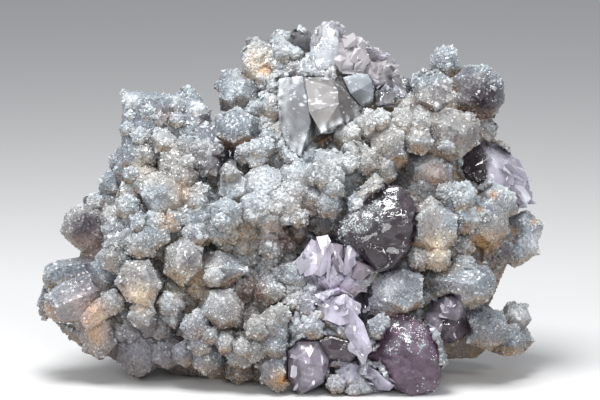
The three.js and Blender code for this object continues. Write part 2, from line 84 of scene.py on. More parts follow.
# %% Display directions and camera
VIEW_DOWN = np.radians(10)
FOOT_DROP = 4.4  # mm from the display zero down to the table
BOX_SHIFT = np.array([0.255, -4.686, 0.0])  # mm from the display zero to the box's middle
ACROSS = np.array([1.0, 0.0, 0.0])
RISE = np.array([0.0, np.sin(VIEW_DOWN), np.cos(VIEW_DOWN)])
NEAR = np.array([0.0, -np.cos(VIEW_DOWN), np.sin(VIEW_DOWN)])
DISPLAY = np.stack([ACROSS, RISE, NEAR])


def place(across, rise, near):
    """The frame's point, in metres, of a place given in millimetres: each number times its direction."""
    local = np.stack(np.broadcast_arrays(across, rise, near), axis=-1).astype(float)
    return (local @ DISPLAY + BOX_SHIFT - [0, 0, FOOT_DROP]) * MM


def viewed(points):
    """The place in millimetres, as across, rise and near, of points of the frame."""
    return (points / MM - BOX_SHIFT + [0, 0, FOOT_DROP]) @ DISPLAY.T


LENS = 200  # mm, on a sensor 36 mm wide
SENSOR = 36
VIEW_WIDTH = 150  # mm across the picture at the cluster
VIEW_MIDDLE = (2, 48.5)  # mm across and up, in the middle of the picture

camera = added("camera", bpy.data.cameras.new("camera"))
camera.data.lens = LENS
camera.data.sensor_width = SENSOR
camera.data.clip_start = 0.05
camera.data.clip_end = 20
camera.location = place(*VIEW_MIDDLE, LENS * VIEW_WIDTH / SENSOR)
camera.rotation_euler = Vector(-NEAR).to_track_quat("-Z", "Y").to_euler()
bpy.context.scene.camera = camera
print("camera", round(LENS * VIEW_WIDTH / SENSOR), "mm away")

# %% [markdown]
# Natural roughness has to be the same each time the script runs, and to look alike from every side.
# Noise on a lattice in space does both: a point's eight lattice corners each have a hashed number,
# and the point gets their blend. Smoothing along a mesh's edges is the other tool used throughout.

# %% Noise and smoothing
HASH = np.array([73856093, 19349663, 83492791])


def hashed(cells, seed):
    """A number from -1 to 1 for each lattice cell, always the same one for the same cell."""
    key = cells @ HASH + seed * 97531
    key = (key ^ (key >> 13)) * 1274126177
    key = key ^ (key >> 16)
    return (key & 0xFFFF) / 32767.5 - 1


def noise(points, size, seed):
    """Numbers from -1 to 1 that change over `size` metres: the eight hashed corners of each point's
    lattice cell, blended along each axis by 3f² - 2f³ of the point's place in the cell."""
    cells = np.floor(points / size).astype(np.int64)
    part = points / size - cells
    part = part * part * (3 - 2 * part)
    total = np.zeros(len(points))
    for corner in np.ndindex(2, 2, 2):
        share = np.where(corner, part, 1 - part).prod(axis=1)
        total += share * hashed(cells + corner, seed)
    return total


def chips(points, size, seed):
    """Heights that make flat, tilted chips about `size` metres wide: each point belongs to the
    nearest of the seeds, one per lattice cell, and its height is the seed's slope times the way
    from the seed to the point."""
    cells = np.floor(points / size).astype(np.int64)
    nearest = np.full(len(points), np.inf)
    heights = np.zeros(len(points))
    for step in np.ndindex(3, 3, 3):
        near_cells = cells + np.array(step) - 1
        jitter = np.stack([hashed(near_cells, seed + axis) for axis in range(3)], axis=1)
        slope = np.stack([hashed(near_cells, seed + 3 + axis) for axis in range(3)], axis=1)
        way = points - (near_cells + 0.5 + 0.42 * jitter) * size
        distance = np.linalg.norm(way, axis=1)
        closer = distance < nearest
        nearest = np.where(closer, distance, nearest)
        heights = np.where(closer, (slope * way).sum(axis=1), heights)
    return heights


def smoothed(values, edges, rounds):
    """Each row of values averaged half and half with the mean of its neighbours, `rounds` times."""
    a, b = edges.T
    count = np.bincount(edges.ravel(), minlength=len(values))[:, None].clip(1)
    for _ in range(rounds):
        total = np.zeros_like(values)
        for column in range(values.shape[1]):
            total[:, column] = np.bincount(a, values[b, column], len(values))
            total[:, column] += np.bincount(b, values[a, column], len(values))
        values = (values + total / count) / 2
    return values


def blend(low, high, x):
    """0 below low, 1 above high and the smooth step 3t² - 2t³ between them."""
    t = np.clip((x - low) / (high - low), 0, 1)
    return t * t * (3 - 2 * t)


def unit(vectors):
    """The vectors at length one."""
    return vectors / np.linalg.norm(vectors, axis=-1, keepdims=True).clip(1e-12)


# %% [markdown]
# The colours that come back all over the cluster get names, from the frosty white of the druse to
# the rust in its hollows. They are given as web colours and worked with as linear light.

# %% Tints
def srgb(code):
    """A web colour as linear numbers: ((c + 0.055) / 1.055) ** 2.4."""
    value = np.array([int(code[i : i + 2], 16) for i in (1, 3, 5)]) / 255
    return np.where(value <= 0.04045, value / 12.92, ((value + 0.055) / 1.055) ** 2.4)


def mixed(colours, other, share):
    """Each colour moved towards another by its share."""
    return colours + (other - colours) * np.clip(share, 0, 1)[:, None]


COOL = srgb("#606c75")
WARM = srgb("#78736c")
FROST = srgb("#e2e8ec")
CREAM = srgb("#d6c6ae")
FLESH = srgb("#c2a597")
TAN = srgb("#ab8b63")
RUST = srgb("#bf8436")
BROWN = srgb("#64463a")
# painted shade: the near black laid into the deepest hollows and into one hole
HOLLOW_SHADE = srgb("#1d191c")
SMOKE = srgb("#4b4852")
SLATE = srgb("#6d6c73")
LILAC = srgb("#8b7f92")
PALE_LILAC = srgb("#bab3c6")
DUSK = srgb("#241a24")
BROKEN = srgb("#b1aca5")

# %% [markdown]
# Crystals come as six-sided shapes grown to a point, or as broken pieces. Both are convex, so each
# can be given by its corners alone, and the skin round them is found by a convex hull. A crystal's
# corners stray a little, because a regular one would look cut.

# %% Crystal shapes
POINT = ((0.9, -1), (1, 0.1), (0.02, 1))
STUB = ((0.85, -1), (1, 0.3), (0.62, 0.9), (0.02, 1))
LOWEST = 0.05 * MM  # how near the table a clean or small crystal may come


def crystal(inside, at, aim, radius, head, root, rings=POINT, sides=6, turn=0, flat=1, stray=0.07):
    """What shows inside a crystal, and its corners in metres. Corner k of a ring (share, up) lies at
    share * radius * (sin a, -cos a) across the axis, with a = turn + 360° k / sides, and at
    up * head along it, or up * root where up is below 0."""
    random = np.random.default_rng(abs(int(at[0] * 710 + at[1] * 330 + at[2] * 100)))
    axis = unit(np.array(aim) @ DISPLAY)
    swing = Vector((0, -1, 0)).rotation_difference(Vector(axis))
    side = np.array(swing @ Vector((1, 0, 0)))
    up = np.array(swing @ Vector((0, 0, 1)))
    share, along = np.array(rings).T
    along = np.where(along < 0, along * root, along * head)
    angle = np.radians(turn) + np.arange(sides) * 2 * np.pi / sides
    across = np.outer(share, np.sin(angle)) * radius
    tall = np.outer(share, -np.cos(angle)) * radius * flat
    ring = across[..., None] * side + tall[..., None] * up + along[:, None, None] * axis
    corners = ring.reshape(-1, 3)
    corners += random.uniform(-stray, stray, corners.shape) * radius
    return inside, place(*at) + corners * MM


def chipped(inside, *corners):
    """What shows inside a broken crystal, and its corners in metres, from places given as across,
    rise and near in mm."""
    return inside, place(*np.array(corners, float).T)


def hulled(corners):
    """The convex solid round the corners, none of them under the table, as (corners, faces, face
    normals, face offsets)."""
    solid = bmesh.new()
    for x, y, z in corners:
        solid.verts.new((x, y, max(z, LOWEST)))
    bmesh.ops.convex_hull(solid, input=solid.verts, use_existing_faces=False)
    bmesh.ops.delete(solid, geom=[v for v in solid.verts if not v.link_faces], context="VERTS")
    solid.verts.index_update()
    bmesh.ops.recalc_face_normals(solid, faces=solid.faces)
    points = np.array([v.co for v in solid.verts])
    faces = [tuple(v.index for v in face.verts) for face in solid.faces]
    normals = np.array([face.normal for face in solid.faces])
    offsets = (normals * [face.verts[0].co for face in solid.faces]).sum(axis=1)
    solid.free()
    return points, faces, normals, offsets


def joined(shapes, name):
    """One mesh of several convex solids."""
    starts = np.cumsum([0] + [len(shape[0]) for shape in shapes])
    faces = [[i + start for i in face] for shape, start in zip(shapes, starts) for face in shape[1]]
    mesh = bpy.data.meshes.new(name)
    mesh.from_pydata(np.concatenate([shape[0] for shape in shapes]).tolist(), [], faces)
    return mesh


print("rings of a pointed and of a stubby crystal:", len(POINT), "and", len(STUB))

# %% [markdown]
# Between the great crystals the real cluster is packed with small ones, in every hollow and on every
# flank. Placing hundreds by hand is hopeless. So rays are cast from the viewer on a jittered grid:
# where a ray lands much deeper than its neighbours a crystal grows up to fill the hollow, and
# elsewhere a small one sits on the face by chance. More are strewn round the sides, and a few that
# stand out in the photograph are listed one by one. Rays that land on a clean crystal or on a great
# dome grow nothing, and those places are listed with their radius.

# %% Small crystals between the great ones
FAR = 90  # mm, where the rays start in front of the cluster
GRID = 3.4  # mm between rays
REACH = 2  # how many rays away the neighbours of a ray stand
HIGHEST = 6  # how many of the highest neighbours a hollow is measured from
DEEP = 1.8  # mm under them that make a hollow
FACE_CHANCE = 0.12  # how often a ray that lands on an open face grows a small crystal
OPEN = 0.25  # how much such a face has to face the viewer
STREWN = 90  # small crystals tried round the sides
SHALLOW = 2.5  # mm, how deep the roots of the small ones go
# Across, rise and radius in mm of the small crystals that are listed one by one
SET_BY_HAND = (
    (-23.5, 71, 2.2), (-31.5, 63.5, 3.6), (-39.6, 72.6, 1.8), (-35.8, 70.2, 2.1), (-28.2, 71.8, 2.3),
    (-41, 66.2, 2), (-25.5, 65.5, 2.8), (-37.6, 64.2, 2.5), (-32.6, 68.4, 1.8), (-40.2, 69.6, 1.5),
    (-35, 60, 2.6), (40, 73, 2.4), (44, 69, 1.8), (38, 61.5, 2.2), (47.5, 44.5, 1.6), (-8, 84.5, 2),
)
# Across, rise and radius in mm of the places that stay free of small crystals
KEPT_FREE = (
    (22, 42, 11), (29, 10, 10), (51.5, 55, 10), (5, 70, 10), (13, 73, 7), (9, 88, 6), (19, 82, 8),
    (9, 34, 8), (12, 21, 8), (16, 14, 6), (4, 8, 7), (11, 12, 6), (39, 18, 6), (35, 42, 7.5),
    (41, 69, 9), (48, 75, 9), (43, 27, 9), (51, 41, 7), (-26, 33, 7), (-37, 28, 7), (-17, 22, 6),
    (-52, 41, 7.5), (-52, 23, 8), (-31, 49, 6), (47, 16, 8), (33, 56, 7), (24, 62, 6), (26, 27, 7),
    (-14, 50, 5), (-5, 52, 5), (-38, 10, 7), (-29, 11, 6), (-34, 62, 7), (-13, 66, 6), (23, 55, 5),
)
solid = frame["nodes"]["quartz_cluster"]
merged = bmesh.new()
merged.from_mesh(solid.data)
bmesh.ops.remove_doubles(merged, verts=merged.verts, dist=1e-6)
shell = BVHTree.FromBMesh(merged)
random = np.random.default_rng(5)
ray_across, ray_rise = np.meshgrid(np.arange(-60, 61, GRID), np.arange(3, 90, GRID))
ray_across = ray_across + random.uniform(-0.3, 0.3, ray_across.shape) * GRID
ray_rise = ray_rise + random.uniform(-0.3, 0.3, ray_rise.shape) * GRID
depth = np.full(ray_across.shape, np.nan)
aims = np.zeros((*ray_across.shape, 3))
for spot in np.ndindex(*depth.shape):
    start = Vector(place(ray_across[spot], ray_rise[spot], FAR))
    hit, normal, _, distance = shell.ray_cast(start, Vector(-NEAR))
    if hit:
        depth[spot] = FAR - distance / MM
        aims[spot] = DISPLAY @ np.array(normal)
free = np.ones(depth.shape, bool)
for across, rise, reach in KEPT_FREE:
    free &= np.hypot(ray_across - across, ray_rise - rise) > reach
small = []
for across, rise, size in SET_BY_HAND:
    hit, normal, _, distance = shell.ray_cast(Vector(place(across, rise, FAR)), Vector(-NEAR))
    at = (across, rise, FAR - distance / MM)
    small.append((at, DISPLAY @ np.array(normal), size, 0.45 * size, SHALLOW))
for row, column in np.argwhere(free & ~np.isnan(depth)):
    block = depth[max(row - REACH, 0) : row + REACH + 1, max(column - REACH, 0) : column + REACH + 1]
    if np.isnan(block).any():
        continue
    below = np.sort(block.ravel())[-HIGHEST:].mean() - depth[row, column]
    at = np.array([ray_across[row, column], ray_rise[row, column], depth[row, column]])
    aim = aims[row, column] + random.normal(0, 0.3, 3)
    if below > DEEP:
        at[2] += 0.3 * min(below, 12) * random.uniform(0.6, 1.3)
        aim = 0.4 * aim + [0, 0.1, 0.7]
        small.append((at, aim, random.uniform(2.3, 4), random.uniform(1.6, 3.2), 6))
    elif random.random() < FACE_CHANCE and aims[row, column, 2] > OPEN:
        small.append((at, aim, random.uniform(1.4, 2.9), random.uniform(0.9, 2), SHALLOW))
merged.faces.ensure_lookup_table()
areas = np.array([face.calc_area() for face in merged.faces])
for index in random.choice(len(areas), STREWN, p=areas / areas.sum()):
    face = merged.faces[index]
    normal = np.array(face.normal)
    if normal[2] > -0.3 and normal @ NEAR < 0.2:
        at = viewed(np.array(face.calc_center_median()))
        aim = DISPLAY @ normal + random.normal(0, 0.25, 3)
        small.append((at, aim, random.uniform(1.6, 3.4), random.uniform(0.8, 2), SHALLOW))
small_shapes = [
    hulled(crystal(None, *spec, rings=STUB if index % 3 else POINT, turn=random.uniform(0, 60))[1])
    for index, spec in enumerate(small)
]
print("small crystals:", len(small_shapes))

# %% [markdown]
# Noise and relief work on whole arrays of points, so a few tools turn meshes into arrays and back.
# One makes a soft, even skin of overlapping solids. Another splits long edges and keeps the faces
# flat, until every triangle is small enough to be coloured point by point. What faces away from the
# viewer gets fewer triangles.

# %% Mesh tools
SKIN_EDGE = 2.2 * MM  # the longest edge left on the display side
BACK_EDGE = 4.4 * MM  # and behind
AWAY = -0.35  # a triangle that faces the viewer less than this counts as behind


def remeshed(mesh, voxel, name):
    """The mesh as an even skin: overlapping parts become one closed surface of voxel-sized faces."""
    holder = added(name, mesh)
    remesh = holder.modifiers.new("remesh", "REMESH")
    remesh.mode = "VOXEL"
    remesh.voxel_size = voxel
    holder.data = bpy.data.meshes.new_from_object(
        holder.evaluated_get(bpy.context.evaluated_depsgraph_get())
    )
    holder.modifiers.clear()
    holder.data.name = name
    return holder


def arrays(mesh):
    """The mesh's points, edges and point normals."""
    points = np.empty(len(mesh.vertices) * 3, np.float32)
    mesh.vertices.foreach_get("co", points)
    edges = np.empty(len(mesh.edges) * 2, np.int32)
    mesh.edges.foreach_get("vertices", edges)
    normals = np.empty(len(mesh.vertices) * 3, np.float32)
    mesh.vertex_normals.foreach_get("vector", normals)
    return points.reshape(-1, 3).astype(float), edges.reshape(-1, 2), normals.reshape(-1, 3).astype(float)


def moved(mesh, points):
    """Puts the points back into the mesh."""
    mesh.vertices.foreach_set("co", points.astype(np.float32).ravel())
    mesh.update()


def paint(mesh, colours, name="tint"):
    """Stores one linear colour for each point."""
    layer = mesh.color_attributes.new(name, "FLOAT_COLOR", "POINT")
    layer.data.foreach_set("color", np.c_[colours, np.ones(len(colours))].astype(np.float32).ravel())


ROUNDS = 7  # no edge of the solid is longer than SKIN_EDGE * 2 ** ROUNDS


def refined(points, triangles, front=SKIN_EDGE, behind=BACK_EDGE):
    """Splits every edge that is too long for its side in half, over and over. A triangle with all
    three edges split becomes four, with two split three, and with one split two."""
    for _ in range(ROUNDS):
        pairs = np.sort(triangles[:, [[0, 1], [1, 2], [2, 0]]], axis=2).reshape(-1, 2)
        pairs, edge_of = np.unique(pairs, axis=0, return_inverse=True)
        edge_of = edge_of.reshape(-1, 3)
        corners = points[triangles]
        out = unit(np.cross(corners[:, 1] - corners[:, 0], corners[:, 2] - corners[:, 0])) @ NEAR
        limit = np.full(len(pairs), behind)
        limit[edge_of[out > AWAY].ravel()] = front
        split = np.linalg.norm(points[pairs[:, 0]] - points[pairs[:, 1]], axis=1) > limit
        if not split.any():
            break
        middle = np.cumsum(split) - 1 + len(points)
        points = np.concatenate([points, points[pairs[split]].mean(axis=1)])
        marks = split[edge_of]
        count = marks.sum(axis=1)
        # each triangle is turned until a lone split edge comes first, or a lone whole edge last
        turn = np.where(count == 1, marks.argmax(axis=1), (marks.argmin(axis=1) + 1) % 3)
        order = (np.arange(3) + turn[:, None]) % 3
        a, b, c = np.take_along_axis(triangles, order, axis=1).T
        ab, bc, ca = middle[np.take_along_axis(edge_of, order, axis=1)].T
        whole, one, two, three = (count == n for n in range(4))
        parts = [
            np.stack([a, b, c], axis=1)[whole],
            np.stack([a, ab, c], axis=1)[one],
            np.stack([ab, b, c], axis=1)[one],
            np.stack([ab, b, bc], axis=1)[two],
            np.stack([a, ab, bc], axis=1)[two],
            np.stack([a, bc, c], axis=1)[two],
            np.stack([a, ab, ca], axis=1)[three],
            np.stack([ab, b, bc], axis=1)[three],
            np.stack([ca, bc, c], axis=1)[three],
            np.stack([ab, bc, ca], axis=1)[three],
        ]
        triangles = np.concatenate(parts)
    return points, triangles


def plain(mesh):
    """The mesh's points and its triangles."""
    bmesh.ops.triangulate(mesh, faces=mesh.faces[:])
    mesh.verts.index_update()
    points = np.array([tuple(v.co) for v in mesh.verts])
    return points, np.array([[v.index for v in face.verts] for face in mesh.faces])


print("longest edges in front and behind in mm:", round(SKIN_EDGE / MM, 1), round(BACK_EDGE / MM, 1))

# %% [markdown]
# The body is a copy of the construction solid with the small crystals set into it. Its faces stay
# flat and its edges crisp, since that is what makes it read as crystals.

# %% Body skin
set_in = bmesh.new()
set_in.from_mesh(joined(small_shapes, "small crystals"))
solid_points, solid_triangles = refined(*plain(merged))
small_points, small_triangles = refined(*plain(set_in))
from_solid = len(solid_points)
points = np.concatenate([solid_points, small_points])
triangles = np.concatenate([solid_triangles, small_triangles + from_solid])
body_mesh = bpy.data.meshes.new("quartz_body")
body_mesh.from_pydata(points, [], triangles)
body = added("quartz_body", body_mesh)
print("body skin:", len(body_mesh.vertices), "points,", len(triangles), "triangles")

# %% [markdown]
# Where a small crystal is set into the body, part of each lies inside the other. Those points never
# show, so they mustn't grow druse. A point is inside a small crystal if it is behind all its planes,
# and inside the body if the nearest place on the body's surface faces away from it.

# %% Buried points
BURIED = 0.1 * MM  # how deep inside a point has to be
SMALL_REACH = 14 * MM  # no small crystal reaches further than this from its middle
points, edges, normals = arrays(body.data)
buried = np.zeros(len(points), bool)
for corners, _, planes, offsets in small_shapes:
    middle = corners.mean(axis=0)
    close = np.flatnonzero(np.abs(points[:from_solid] - middle).max(axis=1) < SMALL_REACH)
    gaps = points[close] @ planes.T - offsets
    buried[close[gaps.max(axis=1) < -BURIED]] = True
for index in range(from_solid, len(points)):
    spot, normal, _, _ = shell.find_nearest(Vector(points[index]))
    buried[index] = (Vector(points[index]) - spot) @ normal < -BURIED
print("buried points:", int(buried.sum()))

# %% [markdown]
# The clean crystals come before the body's relief, because the body has to make room for them. Most
# are broken, so a regular crystal would look too perfect. Each is the convex solid round a few
# corners, given from the display side. Only the whole ones are grown as six-sided crystals.
# The first value of each is the tint that shows inside it.

# %% Clean solids
GREAT_HEART = srgb("#42243c")
LOW_HEART = srgb("#93708f")
WINDOW = srgb("#7a6674")
MILK = srgb("#616368")
BEIGE_MILK = srgb("#555150")
BLUE_MILK = srgb("#747a81")
VEIL = srgb("#d6cfe4")

AMETHYST = (
    chipped(
        GREAT_HEART,
        (15, 43.5, 24.8), (28, 44.9, 23.4), (29, 41, 22.8), (27.8, 36, 22.5), (24.7, 32.2, 22.5),
        (21.5, 31, 22.7), (17.5, 36.5, 23.8), (17, 48.5, 19.3), (22, 51.8, 15.7), (27, 52, 15.6),
        (30.4, 48, 18.5), (30.6, 44, 17.5), (30, 38.5, 16.5), (26, 31.6, 17), (9.5, 40.2, 17.5),
        (12.5, 43.4, 18.5), (12, 40, 8), (30, 48, 6), (28, 34, 8), (18, 32, 8), (18, 50, 6),
    ),
    chipped(
        LOW_HEART,
        (25.5, 12.6, 25.4), (29.5, 14.2, 26.3), (33, 12.6, 25.4), (36, 8.5, 22.8), (23.2, 19.3, 18.3),
        (26, 20.4, 18), (29.8, 20.2, 18.6), (33.3, 17.6, 19.5), (35.4, 13, 20.5), (36.7, 5, 21),
        (34.5, 1.8, 21.3), (29.5, 0.9, 21.8), (26, 3, 22.8), (24.5, 8, 24), (21.6, 7, 20.5),
        (18.8, 10.5, 19.5), (21.5, 15, 19), (20, 18, 8), (34, 18, 8), (35, 3, 8), (20, 3, 8),
    ),
    chipped(
        WINDOW,
        (6.8, 14, 22.5), (9.5, 15.2, 22.8), (13.5, 14.2, 23.5), (15.8, 11, 23.8), (14, 9.5, 23),
        (10, 9.8, 22.5), (7.5, 12, 22), (6, 15, 14), (16, 15, 14), (15, 8, 14), (8, 8, 14),
    ),
    chipped(
        GREAT_HEART,
        (43, 61, -1), (47, 62.5, -2), (49, 59, 1), (48.5, 53.5, 3), (45, 52.5, 3), (42.5, 56, 2),
        (43, 60, -10), (49, 60, -10), (48, 53, -8), (43, 53, -8),
    ),
    crystal(WINDOW, (39, 17.6, 13), (0.2, -0.1, 0.97), 4.6, 3.5, 7, turn=12),
)
MILKY = (
    chipped(
        MILK,
        (-3.2, 78.5, 7.5), (2.5, 79, 11), (3.5, 73.5, 15.5), (4.6, 67.5, 17.5), (2, 59.2, 17),
        (-1.2, 61.5, 13.5), (-3.2, 72.2, 11), (-5, 76, -4), (3, 80, -6), (-3, 60, 0), (6, 60, 0),
        (8, 78, -4),
    ),
    chipped(
        BEIGE_MILK,
        (2, 78.8, 9.5), (9, 78.8, 9), (11.2, 76, 12), (11.5, 72.2, 15), (14, 74.5, 10),
        (17.2, 71.2, 7.5), (17.2, 68.8, 8), (12.2, 67.5, 16.5), (7.2, 65, 19), (3.8, 72.8, 14.5),
        (4.2, 70.2, 16.5), (2, 76, -5), (14, 78, -5), (17, 66, -4), (4, 64, 0),
    ),
    chipped(
        BLUE_MILK,
        (12.8, 78.8, 6), (16.2, 80, 4.5), (18.8, 79.8, 4.5), (19.8, 77.8, 6.5), (20.2, 74.8, 7),
        (19.2, 73.2, 7), (17.2, 71.8, 7), (14.5, 74.8, 8.5), (17, 76, 9.5), (12, 79, -5),
        (20, 80, -5), (20, 72, -5),
    ),
)
CLEAR = (
    chipped(
        FROST,
        (7, 92.5, 0), (8.5, 93.3, -1), (11.5, 93.3, -2), (12.2, 92.4, -3), (11.2, 90, 1),
        (10.8, 83, 3), (7.5, 80.2, 6), (5.8, 81.5, 5.5), (4.5, 85, 3.5), (5.5, 90.5, 1.5),
        (6, 91, -7), (12, 92, -7), (12, 82, -6), (5, 82, -6),
    ),
    crystal(SMOKE, (2.4, 88, -1), (0.1, 0.3, 0.9), 3.6, 4.7, 8),
    chipped(
        SLATE,
        (21.8, 75.2, 5), (25.3, 75.4, 4.5), (25.6, 72.4, 6), (21.6, 72, 6.4), (21, 76, -2),
        (26, 76, -2), (26, 71, -2), (21, 71, -2),
    ),
    chipped(
        FROST,
        (25, 79, 2), (29, 79, 1), (28.4, 74.2, 4), (25.2, 74, 4.6), (25, 79, -5), (30, 79, -5),
        (29, 73, -4),
    ),
)
RUBBLE = (
    chipped(
        FROST,
        (11.5, 89.6, -3), (15, 89.2, -4), (18, 87, -4), (19.5, 83, 1), (17.5, 79.6, 3), (12.5, 80, 4),
        (11.5, 85, 2), (12, 88, -9), (19, 86, -9), (16, 78, -8),
    ),
    chipped(
        FROST,
        (17.5, 86.8, -5), (21, 86.4, -6), (23.2, 84.2, -6), (24.5, 80, -1), (21, 77.5, 2.5),
        (17.5, 80, 2), (17.5, 84, -1), (18, 86, -11), (25, 82, -11), (22, 77, -8),
    ),
    chipped(
        LILAC,
        (22.5, 84.2, -7), (26.2, 82.2, -8), (27.8, 79.2, -7), (26.5, 77, -2), (23, 77, -1),
        (21.5, 81, -2), (22, 83, -12), (28, 79, -12), (24, 76, -9),
    ),
)
SPLINTERS = (
    chipped(
        VEIL,
        (12.5, 19, 22), (14.8, 21.8, 22.5), (17.5, 18.5, 24), (18.8, 14.8, 24.8), (19.6, 12, 24.6),
        (18, 10.6, 24.4), (16.2, 11, 24), (14.5, 13.5, 23.8), (12.8, 16, 23), (16.2, 16, 26.3),
        (13, 20, 16), (19, 12, 17), (16, 12, 17),
    ),
    chipped(
        VEIL,
        (5.8, 22, 20), (8.2, 24.2, 21), (13.2, 25.6, 21.5), (17, 22.5, 21), (15.5, 19, 23),
        (11.8, 18, 24), (8, 19.5, 22.5), (7, 24, 14), (16, 24, 14), (11, 17, 15),
    ),
    chipped(
        VEIL,
        (1.6, 33, 20), (2.2, 35, 20), (3.8, 36.6, 20.5), (4.8, 39, 19.5), (6, 38.4, 20),
        (6.2, 33, 22.5), (5.2, 30.4, 21.5), (3.2, 29.8, 20.5), (3, 36, 15), (5, 30, 15),
    ),
    chipped(
        PALE_LILAC,
        (6, 39.5, 20), (8.8, 40, 20), (9.5, 38.5, 21), (9.5, 32, 22), (7, 29.8, 22), (5.4, 30.5, 22),
        (7.6, 35, 23.5), (7, 39, 14), (8, 30, 15),
    ),
    chipped(
        VEIL,
        (13.4, 37.4, 21), (14.8, 37.6, 21), (15.8, 35.2, 22), (14.4, 31, 23), (13.2, 30.2, 23),
        (12.4, 30.6, 22.5), (13.8, 34, 24.2), (13, 36, 15), (14, 30, 16),
    ),
    chipped(
        WINDOW,
        (15.2, 34, 21), (17, 33.2, 21.5), (19, 32.4, 21.5), (19.4, 31, 22), (17, 28.8, 23),
        (14.6, 29.6, 23), (16.5, 31.5, 24), (15, 34, 15), (19, 31, 15),
    ),
    chipped(
        WINDOW,
        (9.4, 38, 19), (12.6, 37.5, 19), (12, 31, 21), (9.6, 31, 21), (10.8, 34, 21.5), (9, 38, 13),
        (13, 38, 13), (11, 30, 14),
    ),
    chipped(
        VEIL,
        (18.8, 8.2, 22), (20, 7.4, 23), (23.4, 4, 23.5), (25, 3.4, 22), (24, 2, 20), (21, 2, 19),
        (18.2, 6, 19), (19, 8, 14), (24, 3, 14),
    ),
    chipped(
        LILAC,
        (-1, 11.5, 20.5), (1.5, 14, 21), (6.5, 14, 21), (9.4, 10.5, 21), (7.8, 4, 20.5),
        (2.2, 0.6, 20), (-0.8, 4.5, 20), (3.4, 8.8, 25.2), (7.4, 8.2, 23.8), (2.4, 3, 22.8),
        (0, 12, 12), (9, 11, 12), (8, 3, 12), (1, 2, 12),
    ),
    chipped(
        PALE_LILAC,
        (47, 62.5, -3), (52, 61.5, -4), (55.2, 59.2, -4), (57.2, 58.5, -5), (59, 54.8, -5),
        (59.8, 51.5, -5), (59, 48.5, -4), (57.2, 47.2, -2), (52, 50.8, 2), (48.5, 54, 3),
        (50, 58.5, 2.5), (54, 54, 1.5), (48, 60, -12), (56, 58, -12), (58, 50, -12), (48, 50, -10),
    ),
    crystal(LILAC, (39.8, 21.6, 14), (0.5, 0.2, 0.84), 3.8, 3.9, 7, sides=5),
    crystal(LILAC, (35, 18, 14), (0, 0.3, 0.95), 3.4, 3.7, 7, sides=5),
)

print("clean solids:", sum(map(len, (AMETHYST, MILKY, CLEAR, RUBBLE, SPLINTERS))))

# %% [markdown]
# Glassy crystals have soft, slightly chipped faces, so their solids are made one even skin and then
# roughened. Milky and broken ones have flat faces and sharp edges, which such a skin would blur, so
# their solids stay as they are and only their long edges are split. Either way the tint of each
# point is kept, for the stains and the frost that come later.

# %% Clean pieces
def relief(points, normals, waves, breaks=()):
    """The points raised along their normals: each wave is (size, height, seed) of soft noise in mm,
    and each break is (size, slope, seed) of flat chips."""
    lift = sum(height * MM * noise(points, size * MM, seed) for size, height, seed in waves)
    lift = lift + sum(slope * chips(points, size * MM, seed) for size, slope, seed in breaks)
    return points + normals * lift[:, None]


PALER = 0.13  # how much paler than what shows inside it a crystal's glass is
clean_shapes = []


def noted(solids):
    """The convex shapes of the solids, noted down with the tint inside each for the body under them."""
    shapes = [hulled(corners) for _, corners in solids]
    clean_shapes.extend(zip(shapes, [inside for inside, _ in solids]))
    return shapes


def tint_glass(mesh, solids, shapes, paler):
    """Gives each point the tint of the solid it is nearest to: what shows inside, made paler."""
    points = arrays(mesh)[0]
    outside = [(points @ planes.T - offsets).max(axis=1) for _, _, planes, offsets in shapes]
    glass = np.array([inside + (1 - inside) * paler for inside, _ in solids])
    paint(mesh, glass[np.argmin(outside, axis=0)], "glass")


def clean_piece(name, solids, voxel, waves, breaks, paler=PALER):
    """A piece of clean quartz: its solids made one skin, a little uneven and chipped. What shows
    inside each is the tint that the body takes under it, and its glass is somewhat paler."""
    shapes = noted(solids)
    piece = remeshed(joined(shapes, name), voxel * MM, name)
    tint_glass(piece.data, solids, shapes, paler)
    points, _, normals = arrays(piece.data)
    points = relief(points, normals, waves, breaks)
    points[:, 2] = np.maximum(points[:, 2], LOWEST)
    moved(piece.data, points)
    piece.data.shade_smooth()
    print(name, len(piece.data.polygons) * 2, "triangles")
    return piece


def crisp_piece(name, solids, edge, paler=PALER):
    """A piece of broken quartz with flat faces and sharp edges: its solids as they are, with edges
    split to `edge` mm so that their tint can change over a face."""
    shapes = noted(solids)
    whole = bmesh.new()
    whole.from_mesh(joined(shapes, name))
    skin_points, skin_triangles = refined(*plain(whole), edge * MM)
    mesh = bpy.data.meshes.new(name)
    mesh.from_pydata(skin_points, [], skin_triangles)
    tint_glass(mesh, solids, shapes, paler)
    print(name, len(skin_triangles), "triangles")
    return added(name, mesh)


amethyst = clean_piece(
    "amethyst_crystals", AMETHYST, 0.42, ((5, 0.2, 31), (1.6, 0.05, 32)), ((4, 0.14, 33),)
)
milky = crisp_piece("milky_faces", MILKY, 0.7, 0.03)
shards = crisp_piece("shards", SPLINTERS, 0.8)
clear = clean_piece("clear_blocks", CLEAR, 0.42, ((4, 0.15, 51), (1.3, 0.05, 52)), ((3, 0.2, 53),))

# %% [markdown]
# Where quartz breaks it leaves sharp wedges, and their crisp flat faces are what flashes. Each wedge
# is the convex solid round a few points of a stretched ball, a dozen flat faces. Thin ones are the
# splinters, and thicker ones are the chunks of broken quartz at the top, set over three great
# solids. Each swarm of wedges has its own place, reach, lean and shape.

# %% Splinters
BALL_POINTS = 9
